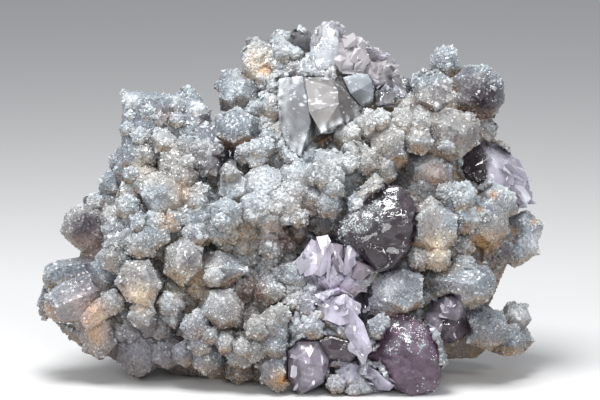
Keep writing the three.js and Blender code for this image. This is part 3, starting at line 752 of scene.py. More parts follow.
# A swarm is: middle, reach, aim, length in mm, thickness and width as shares of it, count
SWARMS = (
    ((4.6, 34.5, 20.5), (2.6, 3.6, 0.8), (-0.1, 0.9, 0.4), 5.5, 0.1, 0.3, 8),
    ((12.6, 32.5, 21.5), (5, 3.6, 1), (0.1, 0.9, 0.4), 4.4, 0.1, 0.28, 16),
    ((11, 22, 22), (5.5, 3, 1), (0.5, -0.6, 0.4), 3.6, 0.1, 0.34, 20),
    ((17, 15, 24.3), (2, 4, 0.5), (0.35, -0.9, 0.2), 5.2, 0.08, 0.28, 10),
    ((20.5, 23.5, 19), (3, 3.5, 1), (0.3, -0.6, 0.6), 3, 0.12, 0.4, 10),
    ((21.5, 5.5, 22), (3.2, 3, 0.8), (0.7, -0.6, 0.2), 4.4, 0.1, 0.34, 9),
    ((4, 7.5, 22.5), (4.2, 4.4, 1), (0.2, 0.9, 0.3), 4.4, 0.1, 0.3, 12),
    ((2.5, 18.5, 21.5), (2.5, 3.5, 0.8), (-0.2, 0.7, 0.6), 3, 0.14, 0.4, 8),
    ((53.5, 54.5, 0.4), (4.5, 4.5, 1), (0.75, -0.6, 0.2), 6.5, 0.07, 0.3, 22),
    ((57.5, 50.5, -3.5), (2, 3, 1), (0.7, -0.6, 0.3), 4, 0.12, 0.4, 10),
    ((38.5, 19.5, 16.5), (3.5, 4, 0.8), (0.2, -0.8, 0.5), 3.4, 0.1, 0.34, 10),
    ((19.5, 83.5, -1), (6.5, 3, 1.2), (0.5, 0.3, 0.6), 3, 0.2, 0.42, 26),
    ((23.5, 76, 4), (3.5, 2, 0.8), (0.4, 0.5, 0.8), 3, 0.2, 0.4, 10),
    ((11, 91.5, -2.5), (2.5, 2, 0.8), (0.2, 0.9, 0.3), 3, 0.2, 0.4, 5),
)
CHUNKS = (
    ((14.6, 86.8, -1.8), (2.8, 2, 1.2), (0.1, 0.9, 0.3), 5, 0.3, 0.42, 20),
    ((15, 82.4, 2.2), (3.2, 2.4, 1.2), (0.2, 0.9, 0.4), 5, 0.3, 0.42, 26),
    ((20.4, 83.6, -2.4), (2.6, 2.2, 1.2), (0.4, 0.8, 0.4), 4.6, 0.3, 0.42, 20),
    ((21, 79.8, 1.2), (2.8, 2.2, 1.2), (0.3, 0.8, 0.5), 4.6, 0.3, 0.42, 22),
    ((25.4, 80, -3.4), (1.8, 2.2, 1), (0.5, 0.6, 0.6), 4.2, 0.3, 0.42, 12),
)


def wedges(random, middle, reach, aim, length, thickness, width, count):
    """Points of thin wedges, as an array (wedges, points, 3): random directions on a ball, stretched
    to half the length along the wedge's axis and to half its thickness and width across it."""
    middles = place(*(np.array(middle) + np.array(reach) * random.uniform(-1, 1, (count, 3))).T)
    axis = unit(np.array(aim) @ DISPLAY + random.normal(0, 0.24, (count, 3)))
    side = unit(np.cross(axis, ACROSS) + random.normal(0, 0.5, (count, 3)))
    side = unit(side - (side * axis).sum(axis=1)[:, None] * axis)
    other = np.cross(axis, side)
    ball = unit(random.normal(size=(count, BALL_POINTS, 3))) * [0.5, thickness, width]
    ball *= (length * random.uniform(0.5, 1.25, count) * MM)[:, None, None]
    frames = np.stack([axis, side, other], axis=1)
    return middles[:, None] + ball @ frames


def flat_piece(name, shapes):
    """A piece of plain convex solids with flat faces."""
    piece = added(name, joined(shapes, name))
    print(name, len(shapes), "solids,", len(piece.data.polygons), "faces")
    return piece


def swarmed(swarms, random):
    """The convex shapes of all wedges of the swarms."""
    return [hulled(corners) for swarm in swarms for corners in wedges(random, *swarm)]


random = np.random.default_rng(3)
splinters = flat_piece("splinters", swarmed(SWARMS, random))
rubble = flat_piece("broken_quartz", noted(RUBBLE) + swarmed(CHUNKS, random))

# %% [markdown]
# A clear crystal shows what is inside it, so the opaque body mustn't stand right behind its faces,
# and the closed-up crust mustn't grow over them. Over the outline of each clean solid the body is
# pushed back along the view until it lies a few millimetres behind the solid's front.

# %% Room under the clean crystals
BEHIND = 3.6 * MM  # how far behind a solid's front the body keeps
MARGIN = 0.5 * MM  # how far outside a solid's outline the body starts to give way
FRONTAL = 0.3  # planes that face the viewer more than this make a solid's front
TOO_FAR = 8 * MM  # what stands further in front of a solid than this is another crystal
covers = []
for (_, _, plane_normals, offsets), _ in clean_shapes:
    gaps = offsets - points @ plane_normals.T
    facing = plane_normals @ NEAR
    front = facing > FRONTAL
    share = 1 - blend(-0.3 * MM, MARGIN, -gaps[:, ~front].min(axis=1))
    depth = (gaps[:, front] / facing[front]).min(axis=1)
    share *= blend(-TOO_FAR, -TOO_FAR + 2 * MM, depth)
    back = (BEHIND - depth).clip(0) * share
    points -= back[:, None] * NEAR
    covers.append(share * blend(9 * MM, 5 * MM, depth))
covered = np.max(covers, axis=0)
print("body points under clean crystals:", int((covered > 0.5).sum()))

# %% [markdown]
# The coat has blurred the crystals a little, so the skin's edges are eased once and the faces are
# made slightly uneven by noise. The relief that remains also tells where the rims and hollows are: a
# point that stands out of its neighbours' average is on a rim or a crest, and one under it is in a
# cavity.

# %% Body relief
EASING = 0.2  # the share of the way that each point moves to its neighbours' average
CAVITY_ROUNDS = 9  # rounds of smoothing that show the hollows
FORM_ROUNDS = 2  # and that show the rims
GRAZING = 0.02 * MM  # how near the table the body and its druse may come
points += EASING * (smoothed(points, edges, 1) - points)
moved(body.data, points)
points, edges, normals = arrays(body.data)
form = ((smoothed(points, edges, FORM_ROUNDS) - points) * normals).sum(axis=1) / MM
cavity = ((smoothed(points, edges, CAVITY_ROUNDS) - points) * normals).sum(axis=1) / MM
points = relief(points, normals, ((5, 0.15, 11), (2, 0.12, 12), (1.1, 0.08, 13)))
points[:, 2] = np.maximum(points[:, 2], GRAZING)
moved(body.data, points)
points, edges, normals = arrays(body.data)
print("form in mm, lowest, median and highest:", np.percentile(form, [2, 50, 98]).round(2))
print("cavity depth in mm, lowest, median and highest:", np.percentile(cavity, [1, 50, 99]).round(2))

# %% [markdown]
# The colour of the real cluster is mostly a cool grey white. Iron stains its undersides tan, and
# where the coat is thin the dark purple of the crystals shows through as hearts. The hollows are
# brown, partly from iron stain and partly as painted shade that deepens to near black, the lower
# part of the cluster is painted darker as shade, and crests that face the top light are painted
# whiter as a highlight.
# A picture could be laid on, but it would fit one side only. So the colour is worked out from the
# form, from noise, and from a list of stains, each a soft round patch dropped onto the surface.

# %% Stains, painted shade and painted highlight
# Each stain is (across, rise, radius, tint, strength), in mm as the viewer sees the display side.
STAINS = (
    (-51.8, 41.5, 5.5, SMOKE, 0.9), (-49.8, 37.8, 3, FLESH, 0.5), (-42.8, 69.2, 1.2, RUST, 1),
    # the near-black dot at -35 across and 62.2 up is painted shade in a hole, not a stain
    (-35, 62.2, 1.5, HOLLOW_SHADE, 1), (-31.8, 69.2, 2.6, BROWN, 0.7), (-17.5, 57.8, 5.5, SMOKE, 0.8),
    (-19.8, 68.5, 2.4, SMOKE, 0.9), (-30.5, 43, 2.5, TAN, 0.9), (-26.8, 49.8, 3.5, TAN, 0.5),
    (-1.8, 39.2, 6.5, BROWN, 0.8), (4.5, 44.8, 4, BROWN, 0.6), (-9.2, 26, 4.5, BROWN, 0.7),
    (-11.8, 39.8, 4, TAN, 0.7), (-37.5, 24.2, 5, TAN, 0.6), (-24.2, 34, 3.6, SLATE, 0.8),
    (-25.5, 27.8, 4, TAN, 0.7), (-48, 21.5, 3, RUST, 0.8), (-60.5, 21.5, 2.2, RUST, 0.7),
    (-49.2, 18, 2, RUST, 0.9), (-53, 23.5, 8, SLATE, 0.6), (-39.2, 12.2, 10, SLATE, 0.8),
    (-30.5, 11, 8, SLATE, 0.7), (-48, 14.8, 2.6, TAN, 0.8), (-14.2, 17.2, 3, BROWN, 0.6),
    (-21.8, 16, 3, BROWN, 0.6), (-2.2, 5.2, 1.8, RUST, 0.9), (35, 36, 5, TAN, 0.7),
    (48.2, 37.8, 4, TAN, 0.7), (52, 34, 4, SMOKE, 0.7), (49.5, 49.8, 0.9, RUST, 0.8),
    (45.8, 46, 0.9, RUST, 0.8), (60.8, 43, 0.9, RUST, 0.8), (48.2, 74.8, 5.5, SMOKE, 0.95),
    (34.5, 55.5, 4, FLESH, 0.5), (47, 65.5, 3, BROWN, 0.5), (-8.5, 83.5, 4, CREAM, 0.8),
    (-6.8, 80.5, 2.2, RUST, 0.8), (0.8, 82, 2.2, BROWN, 0.6), (2.5, 88.5, 2, SLATE, 0.8),
    (23.2, 82.2, 3, LILAC, 0.7), (23.5, 27, 4.5, SLATE, 0.5),
    (43, 27.5, 4.5, SLATE, 0.6), (23, 25.5, 4, SLATE, 0.5), (47.5, 16.5, 4.5, SLATE, 0.4),
    (35.5, 41.5, 3.5, SLATE, 0.5),
    (-15.5, 34, 3, SLATE, 0.4), (-38.5, 29, 4, SLATE, 0.5), (13.5, 56, 3.5, FROST, 0.6),
    (-39.8, 73.5, 2.5, FROST, 0.5), (-23.5, 71.5, 2.5, FROST, 0.6), (-6, 52, 9, FROST, 0.35),
    (10, 26.5, 6, PALE_LILAC, 0.9), (18, 22.5, 5, PALE_LILAC, 0.9), (12, 31, 6, PALE_LILAC, 0.8),
    (49, 74.6, 4.6, DUSK, 1), (46.5, 73.4, 2.4, DUSK, 0.9), (-50.6, 42.4, 3.6, DUSK, 0.65),
    (-25.4, 34.2, 2.4, DUSK, 0.5),
    (-17.6, 57.4, 4, DUSK, 0.5), (41.4, 78.4, 2, SMOKE, 0.6), (-36, 38.5, 2, DUSK, 0.3),
    (52.5, 34.5, 2.4, DUSK, 0.5), (-11, 26.5, 3, BROWN, 0.5), (-46, 20, 3, CREAM, 0.5),
    (-50.6, 22.6, 5, FLESH, 0.3), (-37.4, 24.6, 3.6, CREAM, 0.6), (-27, 27.4, 3, CREAM, 0.5),
    (36.6, 37, 3.6, CREAM, 0.6), (45.5, 38, 3, RUST, 0.35), (-36, 55.6, 3, CREAM, 0.4),
    (19, 27, 3.5, LILAC, 0.6), (14, 7, 5, PALE_LILAC, 0.5), (22, 27, 3.5, FROST, 0.3),
    (57, 21, 3.5, FROST, 0.6), (61.5, 38, 4, FROST, 0.5), (20.5, 4, 3, FROST, 0.6),
)

# Each bare face is (across, rise, radius): there the coat is a fine frost without grown crystals.
BARE = (
    (-36, 11.5, 9), (-53, 22.8, 6), (-56.5, 30.8, 4), (-49.5, 42, 4.6), (-17.5, 57.2, 5.2),
    (-31.8, 63.2, 2.8), (41, 69, 4.5), (50, 73.5, 5), (-21.5, 64.5, 2.4), (25.5, 29.5, 3.4),
    (55, 42, 3), (-1, 40, 6), (-9, 26.5, 4), (-37, 26.5, 3.6), (-46, 32, 3), (48.5, 36.5, 3),
    (22, 31, 3), (-27, 11, 5), (13.5, 68, 4), (32, 58, 3), (45, 29, 3), (-24, 35, 2.4),
    (12, 27, 5), (18, 22, 4), (14, 6.5, 3), (9, 30, 4), (48.6, 74.6, 4.4), (-25.4, 34.2, 2.6),
    (-37, 29.5, 3.4), (35.5, 42.5, 3.2), (44, 28.5, 3.6), (41, 69.5, 4), (-51, 42, 4.4),
)

surface = BVHTree.FromPolygons(points.tolist(), [tuple(p.vertices) for p in body.data.polygons])


def landed(across, rise):
    """The point where a ray from the viewer, at these millimetres across and up, meets the body."""
    hit = surface.ray_cast(Vector(place(across, rise, FAR)), Vector(-NEAR))[0]
    return np.array(hit) if hit else place(across, rise, 0)


STAIN_CENTRES = np.array([landed(across, rise) for across, rise, *_ in STAINS])


def stained(points, colours):
    """The colours with every stain laid on: a share of strength * exp(-1.2 d²) at d radii away,
    where a millimetre along the view counts as less than one across it."""
    warp = 1 + 0.3 * noise(points, 2.4 * MM, 71)
    for centre, (_, _, radius, tint, strength) in zip(STAIN_CENTRES, STAINS):
        apart = (points - centre) @ DISPLAY.T * [1, 1, 0.4]
        far = np.linalg.norm(apart, axis=1) / (radius * MM) * warp
        colours = mixed(colours, tint, strength * np.exp(-1.2 * far**2))
    return colours


BARE_CENTRES = np.array([landed(across, rise) for across, rise, _ in BARE])


def bareness(points):
    """How bare the coat is, from 0 to 1: the strongest of the bare faces, each 1 at its middle and
    fading out round its radius along a ragged edge."""
    ragged = 1 + 0.35 * noise(points, 2 * MM, 75)
    bare = np.zeros(len(points))
    for centre, (_, _, radius) in zip(BARE_CENTRES, BARE):
        apart = np.linalg.norm((points - centre) @ DISPLAY.T * [1, 1, 0.5], axis=1)
        bare = np.maximum(bare, 1 - blend(0.75, 1.1, apart / (radius * MM) * ragged))
    return bare


def hearts(points, form):
    """How much each point belongs to a smooth heart, from 0 to 1: patches of the flat faces where
    the coat stayed so thin that the grey crystal shows."""
    return blend(0.12, 0.42, noise(points, 5.5 * MM, 86)) * blend(-0.5, -0.1, form)


def tinted(points, normals, form, cavity):
    """The cluster's colour from its form: white rims, crests whitened partly as crust and partly as a
    painted highlight where they face the top light, greyer hearts between them that are partly painted
    shade, warm undersides, hollows brown partly from stain and partly as painted shade, a lower part
    painted darker as shade and a pale broken back, with paler and darker patches."""
    patches = 0.5 * noise(points, 9 * MM, 81) + 0.4 * noise(points, 3.5 * MM, 82)
    colours = COOL + (WARM - COOL) * blend(-0.1, 0.5, noise(points, 11 * MM, 84))[:, None]
    rim = blend(-0.1, -0.7, form)
    # painted highlight: crests count more the more they face the top light, so lit crests are whitened
    # and faces that are neither rim nor lit crest are greyed as painted shade
    lit_crest = blend(0.2, -1.1, cavity) * blend(-0.5, 0.6, normals @ (RISE + 0.4 * NEAR))
    colours = mixed(colours, SLATE, 0.4 * (1 - rim) * (1 - lit_crest) * (0.8 - patches))
    colours = mixed(colours, FROST, (0.22 * rim + 0.2 * lit_crest) * (0.8 + patches))
    colours = mixed(colours, SMOKE, 0.5 * hearts(points, form))
    # painted shade: the lower part of the cluster, near the table, is made darker with slate and smoke,
    # less so on lit crests
    low = blend(24 * MM, 6 * MM, points[:, 2])
    colours = mixed(colours, SLATE, 0.5 * low * (1 - 0.6 * lit_crest))
    colours = mixed(colours, SMOKE, 0.4 * low * (1 - 0.6 * lit_crest))
    below = blend(0.05, 0.85, -normals @ RISE)
    warm = noise(points, 6 * MM, 83)
    colours = mixed(colours, TAN, 0.7 * below * (0.7 + 0.5 * warm))
    # the hollows: tan and brown are partly iron stain and partly painted shade, and the deepest turn near
    # black as painted shade
    colours = mixed(colours, TAN, 0.6 * blend(0.15, 0.8, cavity) * (0.6 + warm))
    colours = mixed(colours, BROWN, 0.55 * blend(0.8, 2.1, cavity))
    colours = mixed(colours, HOLLOW_SHADE, 0.4 * blend(2.2, 4, cavity))
    colours = mixed(colours, BROKEN, 0.7 * blend(0.15, 0.7, -normals @ NEAR))
    return stained(points, colours)


colours = tinted(points, normals, form, cavity)
for cover, (_, inside) in zip(covers, clean_shapes):
    colours = mixed(colours, inside, cover)
paint(body.data, colours)
print("stains laid on:", len(STAINS))

# %% [markdown]
# The clean pieces aren't clean all over. White scratches and frost cross the amethyst's upper faces,
# and a thin crust of druse has begun to grow there and round the milky faces. The piece's own tint
# carries the frost, and the same patches tell the druse where to start. A noise stretched along the
# faces gives the scratches their run.

# %% Frost on the clean pieces
# Each frosted patch is (across, rise, radius, strength).
FROSTED = (
    (17.5, 45.5, 3.6, 1.5), (21.5, 48.5, 3, 1.2), (15.5, 42.5, 2.6, 1.2), (25, 49.5, 2.6, 0.5),
    (12, 41.5, 2.6, 0.7), (19.5, 42.5, 1.6, 0.9), (24.5, 18.5, 2, 0.7), (29, 17, 4, 0.5),
    (27, 14.2, 1.8, 1), (32, 13, 1.6, 0.8), (24, 12, 1.2, 0.8), (35, 10, 1.2, 0.6), (33, 3, 2, 0.5),
    (-3.2, 79, 3, 1), (0.5, 80, 2.4, 1), (-4, 74, 2.6, 0.8), (-3.5, 67, 3, 0.7), (12.5, 79.5, 2, 0.6),
    (50, 60.5, 3, 0.6), (18.5, 70, 2, 0.5), (0.5, 60.3, 2, 1.3), (4.5, 63.8, 1.6, 1.2),
    (9, 65.4, 1.7, 1.3), (13, 67, 1.7, 1.3), (17.2, 69.2, 1.6, 1.3), (20.2, 73.4, 1.6, 1.2),
    (-3.8, 70.5, 1.6, 1.2), (-2.4, 63.6, 1.7, 1.3), (8, 79.4, 1.8, 1), (16.5, 80.4, 1.4, 0.9),
)
SCRATCH_RUN = (1, 0.4, 2.6)  # scratches are long where this is small


def frosted(points):
    """How frosted each point is, from 0 to 1: the sum of the patches, broken up by noise."""
    local = viewed(points)
    total = np.zeros(len(points))
    for across, rise, radius, strength in FROSTED:
        far = np.hypot(local[:, 0] - across, local[:, 1] - rise) / radius
        total += strength * np.exp(-(far**2))
    return np.clip(total * (0.6 + 0.9 * noise(points, 1.3 * MM, 95)), 0, 1)


def painted(piece):
    """Gives a clean piece its tint: its own glass with stains, scratches and frost."""
    skin_points, _, skin_normals = arrays(piece.data)
    base = np.empty(len(skin_points) * 4, np.float32)
    piece.data.color_attributes["glass"].data.foreach_get("color", base)
    base = base.reshape(-1, 4)[:, :3].astype(float)
    scratches = blend(0.45, 0.62, noise(skin_points * SCRATCH_RUN, 0.9 * MM, 96))
    scratches *= blend(-0.1, 0.4, noise(skin_points, 5 * MM, 97))
    clouds = 0.95 + 0.4 * noise(skin_points, 3 * MM, 98)
    tint = mixed(base, stained(skin_points, base), np.full(len(base), 0.5)) * clouds[:, None]
    frost = frosted(skin_points)
    paint(piece.data, mixed(tint, FROST, np.maximum(0.7 * scratches, frost)))
    return skin_points, skin_normals, frost


crusts = [painted(piece) for piece in (amethyst, milky, shards)]
print("points at least half frosted:", [int((frost > 0.5).sum()) for _, _, frost in crusts])

# %% [markdown]
# Druse is thousands of tiny quartz points side by side, and the sparkle is their facets. Bump could
# fake it, but the outline and the glints need real facets. Each druse crystal is a little six-sided
# pyramid with its foot sunk in the body. Seven corners give it, so all are made in one array.

# %% Druse shapes
SIDES = 6
CORNERS = SIDES + 1
ROUND = np.arange(SIDES) * 2 * np.pi / SIDES
TIP = SIDES
PYRAMID = np.array(
    [(i, (i + 1) % SIDES, TIP) for i in range(SIDES)] + [(0, i + 1, i) for i in range(1, SIDES - 1)]
)


def druse_points(centres, normals, radius, height, random):
    """Corners of one pyramid for each centre, as an array (crystals, 7, 3): foot corner k is
    radius * (cos a, sin a) across the tilted axis, a little below the centre, and the tip is up it."""
    count = len(centres)
    axis = unit(normals + random.normal(0, 0.24, (count, 3)))
    side = unit(np.cross(axis, random.normal(size=(count, 3))))
    other = np.cross(axis, side)
    wide = radius[:, None] * random.uniform(0.78, 1.15, (count, SIDES))
    foot = (
        centres[:, None]
        + (wide * np.cos(ROUND))[..., None] * side[:, None]
        + (wide * np.sin(ROUND))[..., None] * other[:, None]
        - (0.45 * radius)[:, None, None] * axis[:, None]
    )
    lean = random.normal(0, 0.16, (count, 2)) * radius[:, None]
    tip = centres + axis * height[:, None] + side * lean[:, :1] + other * lean[:, 1:]
    return np.concatenate([foot, tip[:, None]], axis=1)


def druse_cells(count):
    """For the bake, each crystal has a square cell of its own in the UV map: its sides are spread
    round the cell's middle as seen from above, and its hidden foot is a small fan in a corner."""
    columns = int(np.ceil(np.sqrt(count)))
    cell = np.stack([np.arange(count) % columns, np.arange(count) // columns], axis=1)
    ring = np.stack([np.cos(ROUND), np.sin(ROUND)], axis=1)
    spread = np.concatenate([0.5 + 0.4 * ring, [[0.5, 0.5]]])
    small = np.concatenate([0.08 + 0.05 * ring, [[0.08, 0.08]]])
    corners = np.concatenate([spread[PYRAMID[:SIDES]], small[PYRAMID[SIDES:]]]).reshape(-1, 2)
    return (cell[:, None] + corners[None]) / columns


def druse_mesh(name, corners, colours):
    """One mesh of many pyramids, flat-shaded, with each one's colour paler at its tip."""
    count = len(corners)
    faces = (PYRAMID[None] + CORNERS * np.arange(count)[:, None, None]).reshape(-1, 3)
    mesh = bpy.data.meshes.new(name)
    mesh.from_pydata(corners.reshape(-1, 3), [], faces)
    uv = mesh.uv_layers.new(name="OFBake")
    uv.data.foreach_set("uv", druse_cells(count).astype(np.float32).ravel())
    each = np.repeat(colours[:, None], CORNERS, axis=1)
    each[:, TIP] += (1 - each[:, TIP]) * 0.25
    paint(mesh, each.reshape(-1, 3))
    return added(name, mesh)


print("triangles to a druse crystal:", len(PYRAMID))

# %% [markdown]
# The druse is sown by area, so many crystals to a square millimetre. It is thick on rims and crests,
# thinner on the flat faces, thin behind, and never under a clean crystal, deep in a crevice or
# inside a small crystal.

# %% Druse sown
SOWN = 4.0  # crystals to a square millimetre where the druse is thickest
SILL = 0.6 * MM  # below this height the cluster stands too close to the table for druse
random = np.random.default_rng(7)
corner_points = points[triangles]
sides = np.cross(corner_points[:, 1] - corner_points[:, 0], corner_points[:, 2] - corner_points[:, 0])
areas = np.linalg.norm(sides, axis=1) / 2
face_normals = unit(sides)
facing = face_normals @ NEAR
face_form = form[triangles].mean(axis=1)
face_cavity = cavity[triangles].mean(axis=1)
density = 0.2 + 0.8 * blend(-0.4, 0.0, facing)
density *= 0.45 + 0.55 * blend(0.0, -0.4, face_form)
density *= 1 - 0.85 * bareness(corner_points.mean(axis=1))
density *= 1 - 0.8 * hearts(corner_points.mean(axis=1), face_form)
density *= 1 - blend(1.8, 3.2, face_cavity)
density *= (covered[triangles].mean(axis=1) < 0.25) & (buried[triangles].mean(axis=1) < 0.5)
density *= corner_points[:, :, 2].mean(axis=1) > SILL
grains = random.poisson(SOWN * areas / MM**2 * density)
chosen = np.repeat(np.arange(len(triangles)), grains)
weights = random.dirichlet((1, 1, 1), len(chosen))
print("druse crystals on the body:", len(chosen))

# %% [markdown]
# Each crystal takes its place, lean and colour from the three corners of its triangle. Patches of
# coarser druse come from noise, as on the real coat, and the rims have taller and whiter crystals.
# The crust on the frosted pieces is finer. All of it is cut into pieces from left to right, because
# a single piece would be too large.

# %% Druse pieces
CRUST_SHARE = 0.4  # share of a frosted skin's points where a crystal has grown
PIECES = 5
spots = (points[triangles[chosen]] * weights[..., None]).sum(axis=1)
corner_normals = (normals[triangles[chosen]] * weights[..., None]).sum(axis=1)
spot_normals = unit(face_normals[chosen] + 0.6 * corner_normals)
spot_form = (form[triangles[chosen]] * weights).sum(axis=1)
spot_cavity = (cavity[triangles[chosen]] * weights).sum(axis=1)
facing = facing[chosen]
coarse = 1 + 0.3 * noise(spots, 7 * MM, 91) - 0.12 * np.clip(spot_cavity, -2, 2)
coarse *= 1 + 0.5 * blend(0.1, -0.4, facing)
rim = blend(-0.1, -0.7, spot_form)
coarse *= 1 + 0.3 * rim
radius = np.clip(0.4 * coarse * np.exp(random.normal(0, 0.3, len(spots))), 0.25, 1.3) * MM
height = radius * random.uniform(0.25, 0.6, len(spots)) * (1 + 0.5 * rim)
# the druse takes the body's tint, with its painted shade in the hollows and the lower part
shade = tinted(spots, spot_normals, spot_form, spot_cavity)
# painted highlight: crests that face the top light get more whitened grains
lit_crest = blend(0.2, -1.1, spot_cavity) * blend(-0.3, 0.6, spot_normals @ (RISE + 0.4 * NEAR))
white = random.random(len(spots)) < 0.03 + 0.3 * rim + 0.12 * lit_crest
shade = mixed(shade, FROST, np.where(white, 0.55, 0.03))
for skin_points, skin_normals, frost in crusts:
    chance = 0.001 + CRUST_SHARE * frost * (skin_normals @ NEAR > -0.1)
    grown_here = random.random(len(skin_points)) < chance
    count = int(grown_here.sum())
    spots = np.concatenate([spots, skin_points[grown_here]])
    spot_normals = np.concatenate([spot_normals, skin_normals[grown_here]])
    radius = np.concatenate([radius, random.uniform(0.16, 0.34, count) * MM])
    height = np.concatenate([height, random.uniform(0.1, 0.26, count) * MM])
    shade = np.concatenate([shade, np.tile(FROST, (count, 1)) * random.uniform(0.7, 1, (count, 1))])
shade *= random.uniform(0.8, 1.08, len(spots))[:, None]
grown = druse_points(spots, spot_normals, radius, height, random)
grown[..., 2] = np.maximum(grown[..., 2], GRAZING)
order = np.argsort(spots @ ACROSS)
druse = []
for index, some in enumerate(np.array_split(order, PIECES)):
    druse.append(druse_mesh(f"druse_{index + 1}", grown[some], shade[some]))
print("druse crystals:", len(spots), "in", len(druse), "pieces")

# %% [markdown]
# Quartz is the same mineral everywhere here, so its refraction index is 1.544 in each finish. What
# differs is how much light passes: a third in the druse, most in the amethyst, which absorbs all but
# violet, and little in the milky faces, because tiny bubbles cloud them. Grains that each tilt the
# surface their own way give the frosted body its sparkle and the broken faces their flashes.

# %% Finishes
QUARTZ_IOR = 1.544


def finish_for(name, roughness, transmission=0.0, colour=None, absorbed=None, density=0.0):
    """A quartz finish: its colour is fixed or read from the tint, and what it absorbs is a volume."""
    material = bpy.data.materials.new(name)
    material.use_nodes = True
    nodes = material.node_tree.nodes
    links = material.node_tree.links
    shader = nodes["Principled BSDF"]
    shader.inputs["Roughness"].default_value = roughness
    shader.inputs["IOR"].default_value = QUARTZ_IOR
    shader.inputs["Transmission Weight"].default_value = transmission
    if colour is None:
        tint = nodes.new("ShaderNodeVertexColor")
        tint.layer_name = "tint"
        links.new(tint.outputs["Color"], shader.inputs["Base Color"])
    else:
        shader.inputs["Base Color"].default_value = (*colour, 1)
    if absorbed is not None:
        volume = nodes.new("ShaderNodeVolumeAbsorption")
        volume.inputs["Color"].default_value = (*absorbed, 1)
        volume.inputs["Density"].default_value = density
        links.new(volume.outputs["Volume"], nodes["Material Output"].inputs["Volume"])
    return material


def add_sparkle(material, grain, tilt, whiten, run=(1, 1, 1)):
    """Breaks a finish into grains of about `grain` metres, shortened by the three shares of run:
    every Voronoi cell tilts the surface its own way, so it catches the light on its own, and is
    paler or darker than its neighbours."""
    nodes = material.node_tree.nodes
    links = material.node_tree.links
    shader = nodes["Principled BSDF"]
    place_node = nodes.new("ShaderNodeTexCoord")
    cells = nodes.new("ShaderNodeTexVoronoi")
    cells.inputs["Scale"].default_value = 1 / grain
    stretched = nodes.new("ShaderNodeVectorMath")
    stretched.operation = "MULTIPLY"
    stretched.inputs[1].default_value = run
    links.new(place_node.outputs["Object"], stretched.inputs[0])
    links.new(stretched.outputs["Vector"], cells.inputs["Vector"])
    centred = nodes.new("ShaderNodeVectorMath")
    centred.operation = "MULTIPLY_ADD"
    centred.inputs[1].default_value = (2 * tilt, 2 * tilt, 2 * tilt)
    centred.inputs[2].default_value = (-tilt, -tilt, -tilt)
    links.new(cells.outputs["Color"], centred.inputs[0])
    geometry = nodes.new("ShaderNodeNewGeometry")
    tilted = nodes.new("ShaderNodeVectorMath")
    tilted.operation = "ADD"
    links.new(geometry.outputs["Normal"], tilted.inputs[0])
    links.new(centred.outputs["Vector"], tilted.inputs[1])
    facet = nodes.new("ShaderNodeVectorMath")
    facet.operation = "NORMALIZE"
    links.new(tilted.outputs["Vector"], facet.inputs[0])
    links.new(facet.outputs["Vector"], shader.inputs["Normal"])
    split = nodes.new("ShaderNodeSeparateColor")
    links.new(cells.outputs["Color"], split.inputs["Color"])
    lift = nodes.new("ShaderNodeMapRange")
    lift.inputs["To Min"].default_value = 1 - whiten
    lift.inputs["To Max"].default_value = 1 + whiten
    links.new(split.outputs["Red"], lift.inputs["Value"])
    shaded = nodes.new("ShaderNodeVectorMath")
    shaded.operation = "SCALE"
    if shader.inputs["Base Color"].links:
        links.new(shader.inputs["Base Color"].links[0].from_socket, shaded.inputs[0])
    else:
        shaded.inputs[0].default_value = shader.inputs["Base Color"].default_value[:3]
    links.new(lift.outputs["Result"], shaded.inputs["Scale"])
    links.new(shaded.outputs["Vector"], shader.inputs["Base Color"])
    return material


print("quartz refraction index:", QUARTZ_IOR)

# %% [markdown]
# Each finish goes on its pieces, and every piece rides on the one body. The dressed body stands in
# for the construction solid, which is then hidden.

# %% Dressing
def dress(piece, material):
    """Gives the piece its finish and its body."""
    piece.data.materials.clear()
    piece.data.materials.append(material)
    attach(piece, "root")


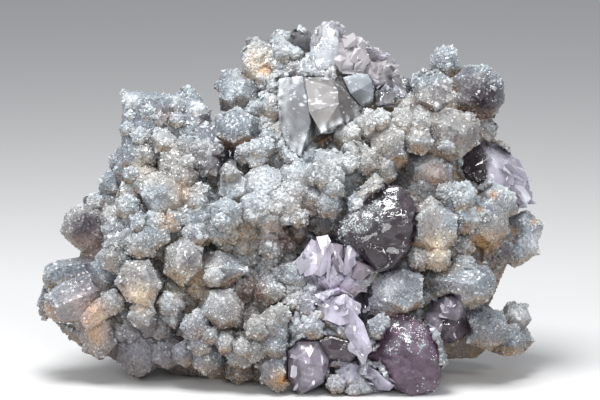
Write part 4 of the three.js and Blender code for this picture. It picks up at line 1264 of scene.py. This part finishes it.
dress(body, add_sparkle(finish_for("frosted quartz", 0.3), 0.55 * MM, 0.4, 0.22))
druse_finish = finish_for("druse", 0.3, transmission=0.35)
for piece in druse:
    dress(piece, druse_finish)
purple = finish_for("amethyst", 0.07, 0.82, None, srgb("#a888a4"), 60)
dress(amethyst, add_sparkle(purple, 2.2 * MM, 0.2, 0.35, (1, 0.5, 1.6)))
dress(milky, add_sparkle(finish_for("milky quartz", 0.42, 0.2), 2.6 * MM, 0.05, 0.08))
dress(clear, finish_for("clear quartz", 0.08, 0.9, srgb("#eeeef2"), srgb("#b8b4b8"), 30))
dress(rubble, finish_for("broken quartz", 0.2, 0.55, srgb("#d2ced2")))
lilac = finish_for("shards", 0.18, 0.45, None, srgb("#d2c8da"), 30)
dress(shards, add_sparkle(lilac, 1.1 * MM, 0.16, 0.14, (1.4, 0.5, 0.6)))
dress(splinters, finish_for("splinters", 0.14, 0.6, srgb("#dad8e2")))
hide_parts("quartz_cluster")
pieces = [body, *druse, amethyst, milky, clear, rubble, shards, splinters]
print("dressed pieces:", len(pieces))

# %% [markdown]
# The picture is lit as for a specimen: one broad soft light over the top, a weaker one from each
# side so that the facets on the flanks glint, one from the viewer's side to open the crevices, and
# a pale floor that sends some light up again.

# %% Floor and lights
FLOOR_SIDE = 3.0  # m
FLOOR_GREY = 0.55
SKY = (0.8, 0.82, 0.86, 1)
SKY_STRENGTH = 0.56
floor_mesh = bpy.data.meshes.new("floor")
quarters = ((-1, -1), (1, -1), (1, 1), (-1, 1))
floor_mesh.from_pydata([(x * FLOOR_SIDE / 2, y * FLOOR_SIDE / 2, 0) for x, y in quarters], [], [range(4)])
floor = added("floor", floor_mesh)
floor_finish = bpy.data.materials.new("pale floor")
floor_finish.use_nodes = True
floor_shader = floor_finish.node_tree.nodes["Principled BSDF"]
floor_shader.inputs["Base Color"].default_value = (FLOOR_GREY, FLOOR_GREY, FLOOR_GREY, 1)
floor_shader.inputs["Roughness"].default_value = 0.9
floor_mesh.materials.append(floor_finish)


def soft_light(name, at, size, watts):
    """A square area light at a display place in mm, turned towards the middle of the cluster, with
    its side in mm and its power in watts."""
    light = bpy.data.lights.new(name, "AREA")
    light.size = size * MM
    light.energy = watts
    holder = added(name, light)
    holder.location = place(*at)
    target = Vector(place(0, 45, 0))
    holder.rotation_euler = (target - holder.location).to_track_quat("-Z", "Y").to_euler()


soft_light("top light", (-60, 420, 160), 200, 2.8)
soft_light("left light", (-420, 160, 300), 110, 0.8)
soft_light("right light", (420, 200, 260), 110, 0.8)
soft_light("front light", (60, 160, 700), 260, 1.45)
world = bpy.data.worlds.new("studio")
bpy.context.scene.world = world
world.use_nodes = True
world.node_tree.nodes["Background"].inputs["Color"].default_value = SKY
world.node_tree.nodes["Background"].inputs["Strength"].default_value = SKY_STRENGTH
bpy.context.scene.view_settings.view_transform = "Standard"
print("lights:", len(bpy.data.lights))
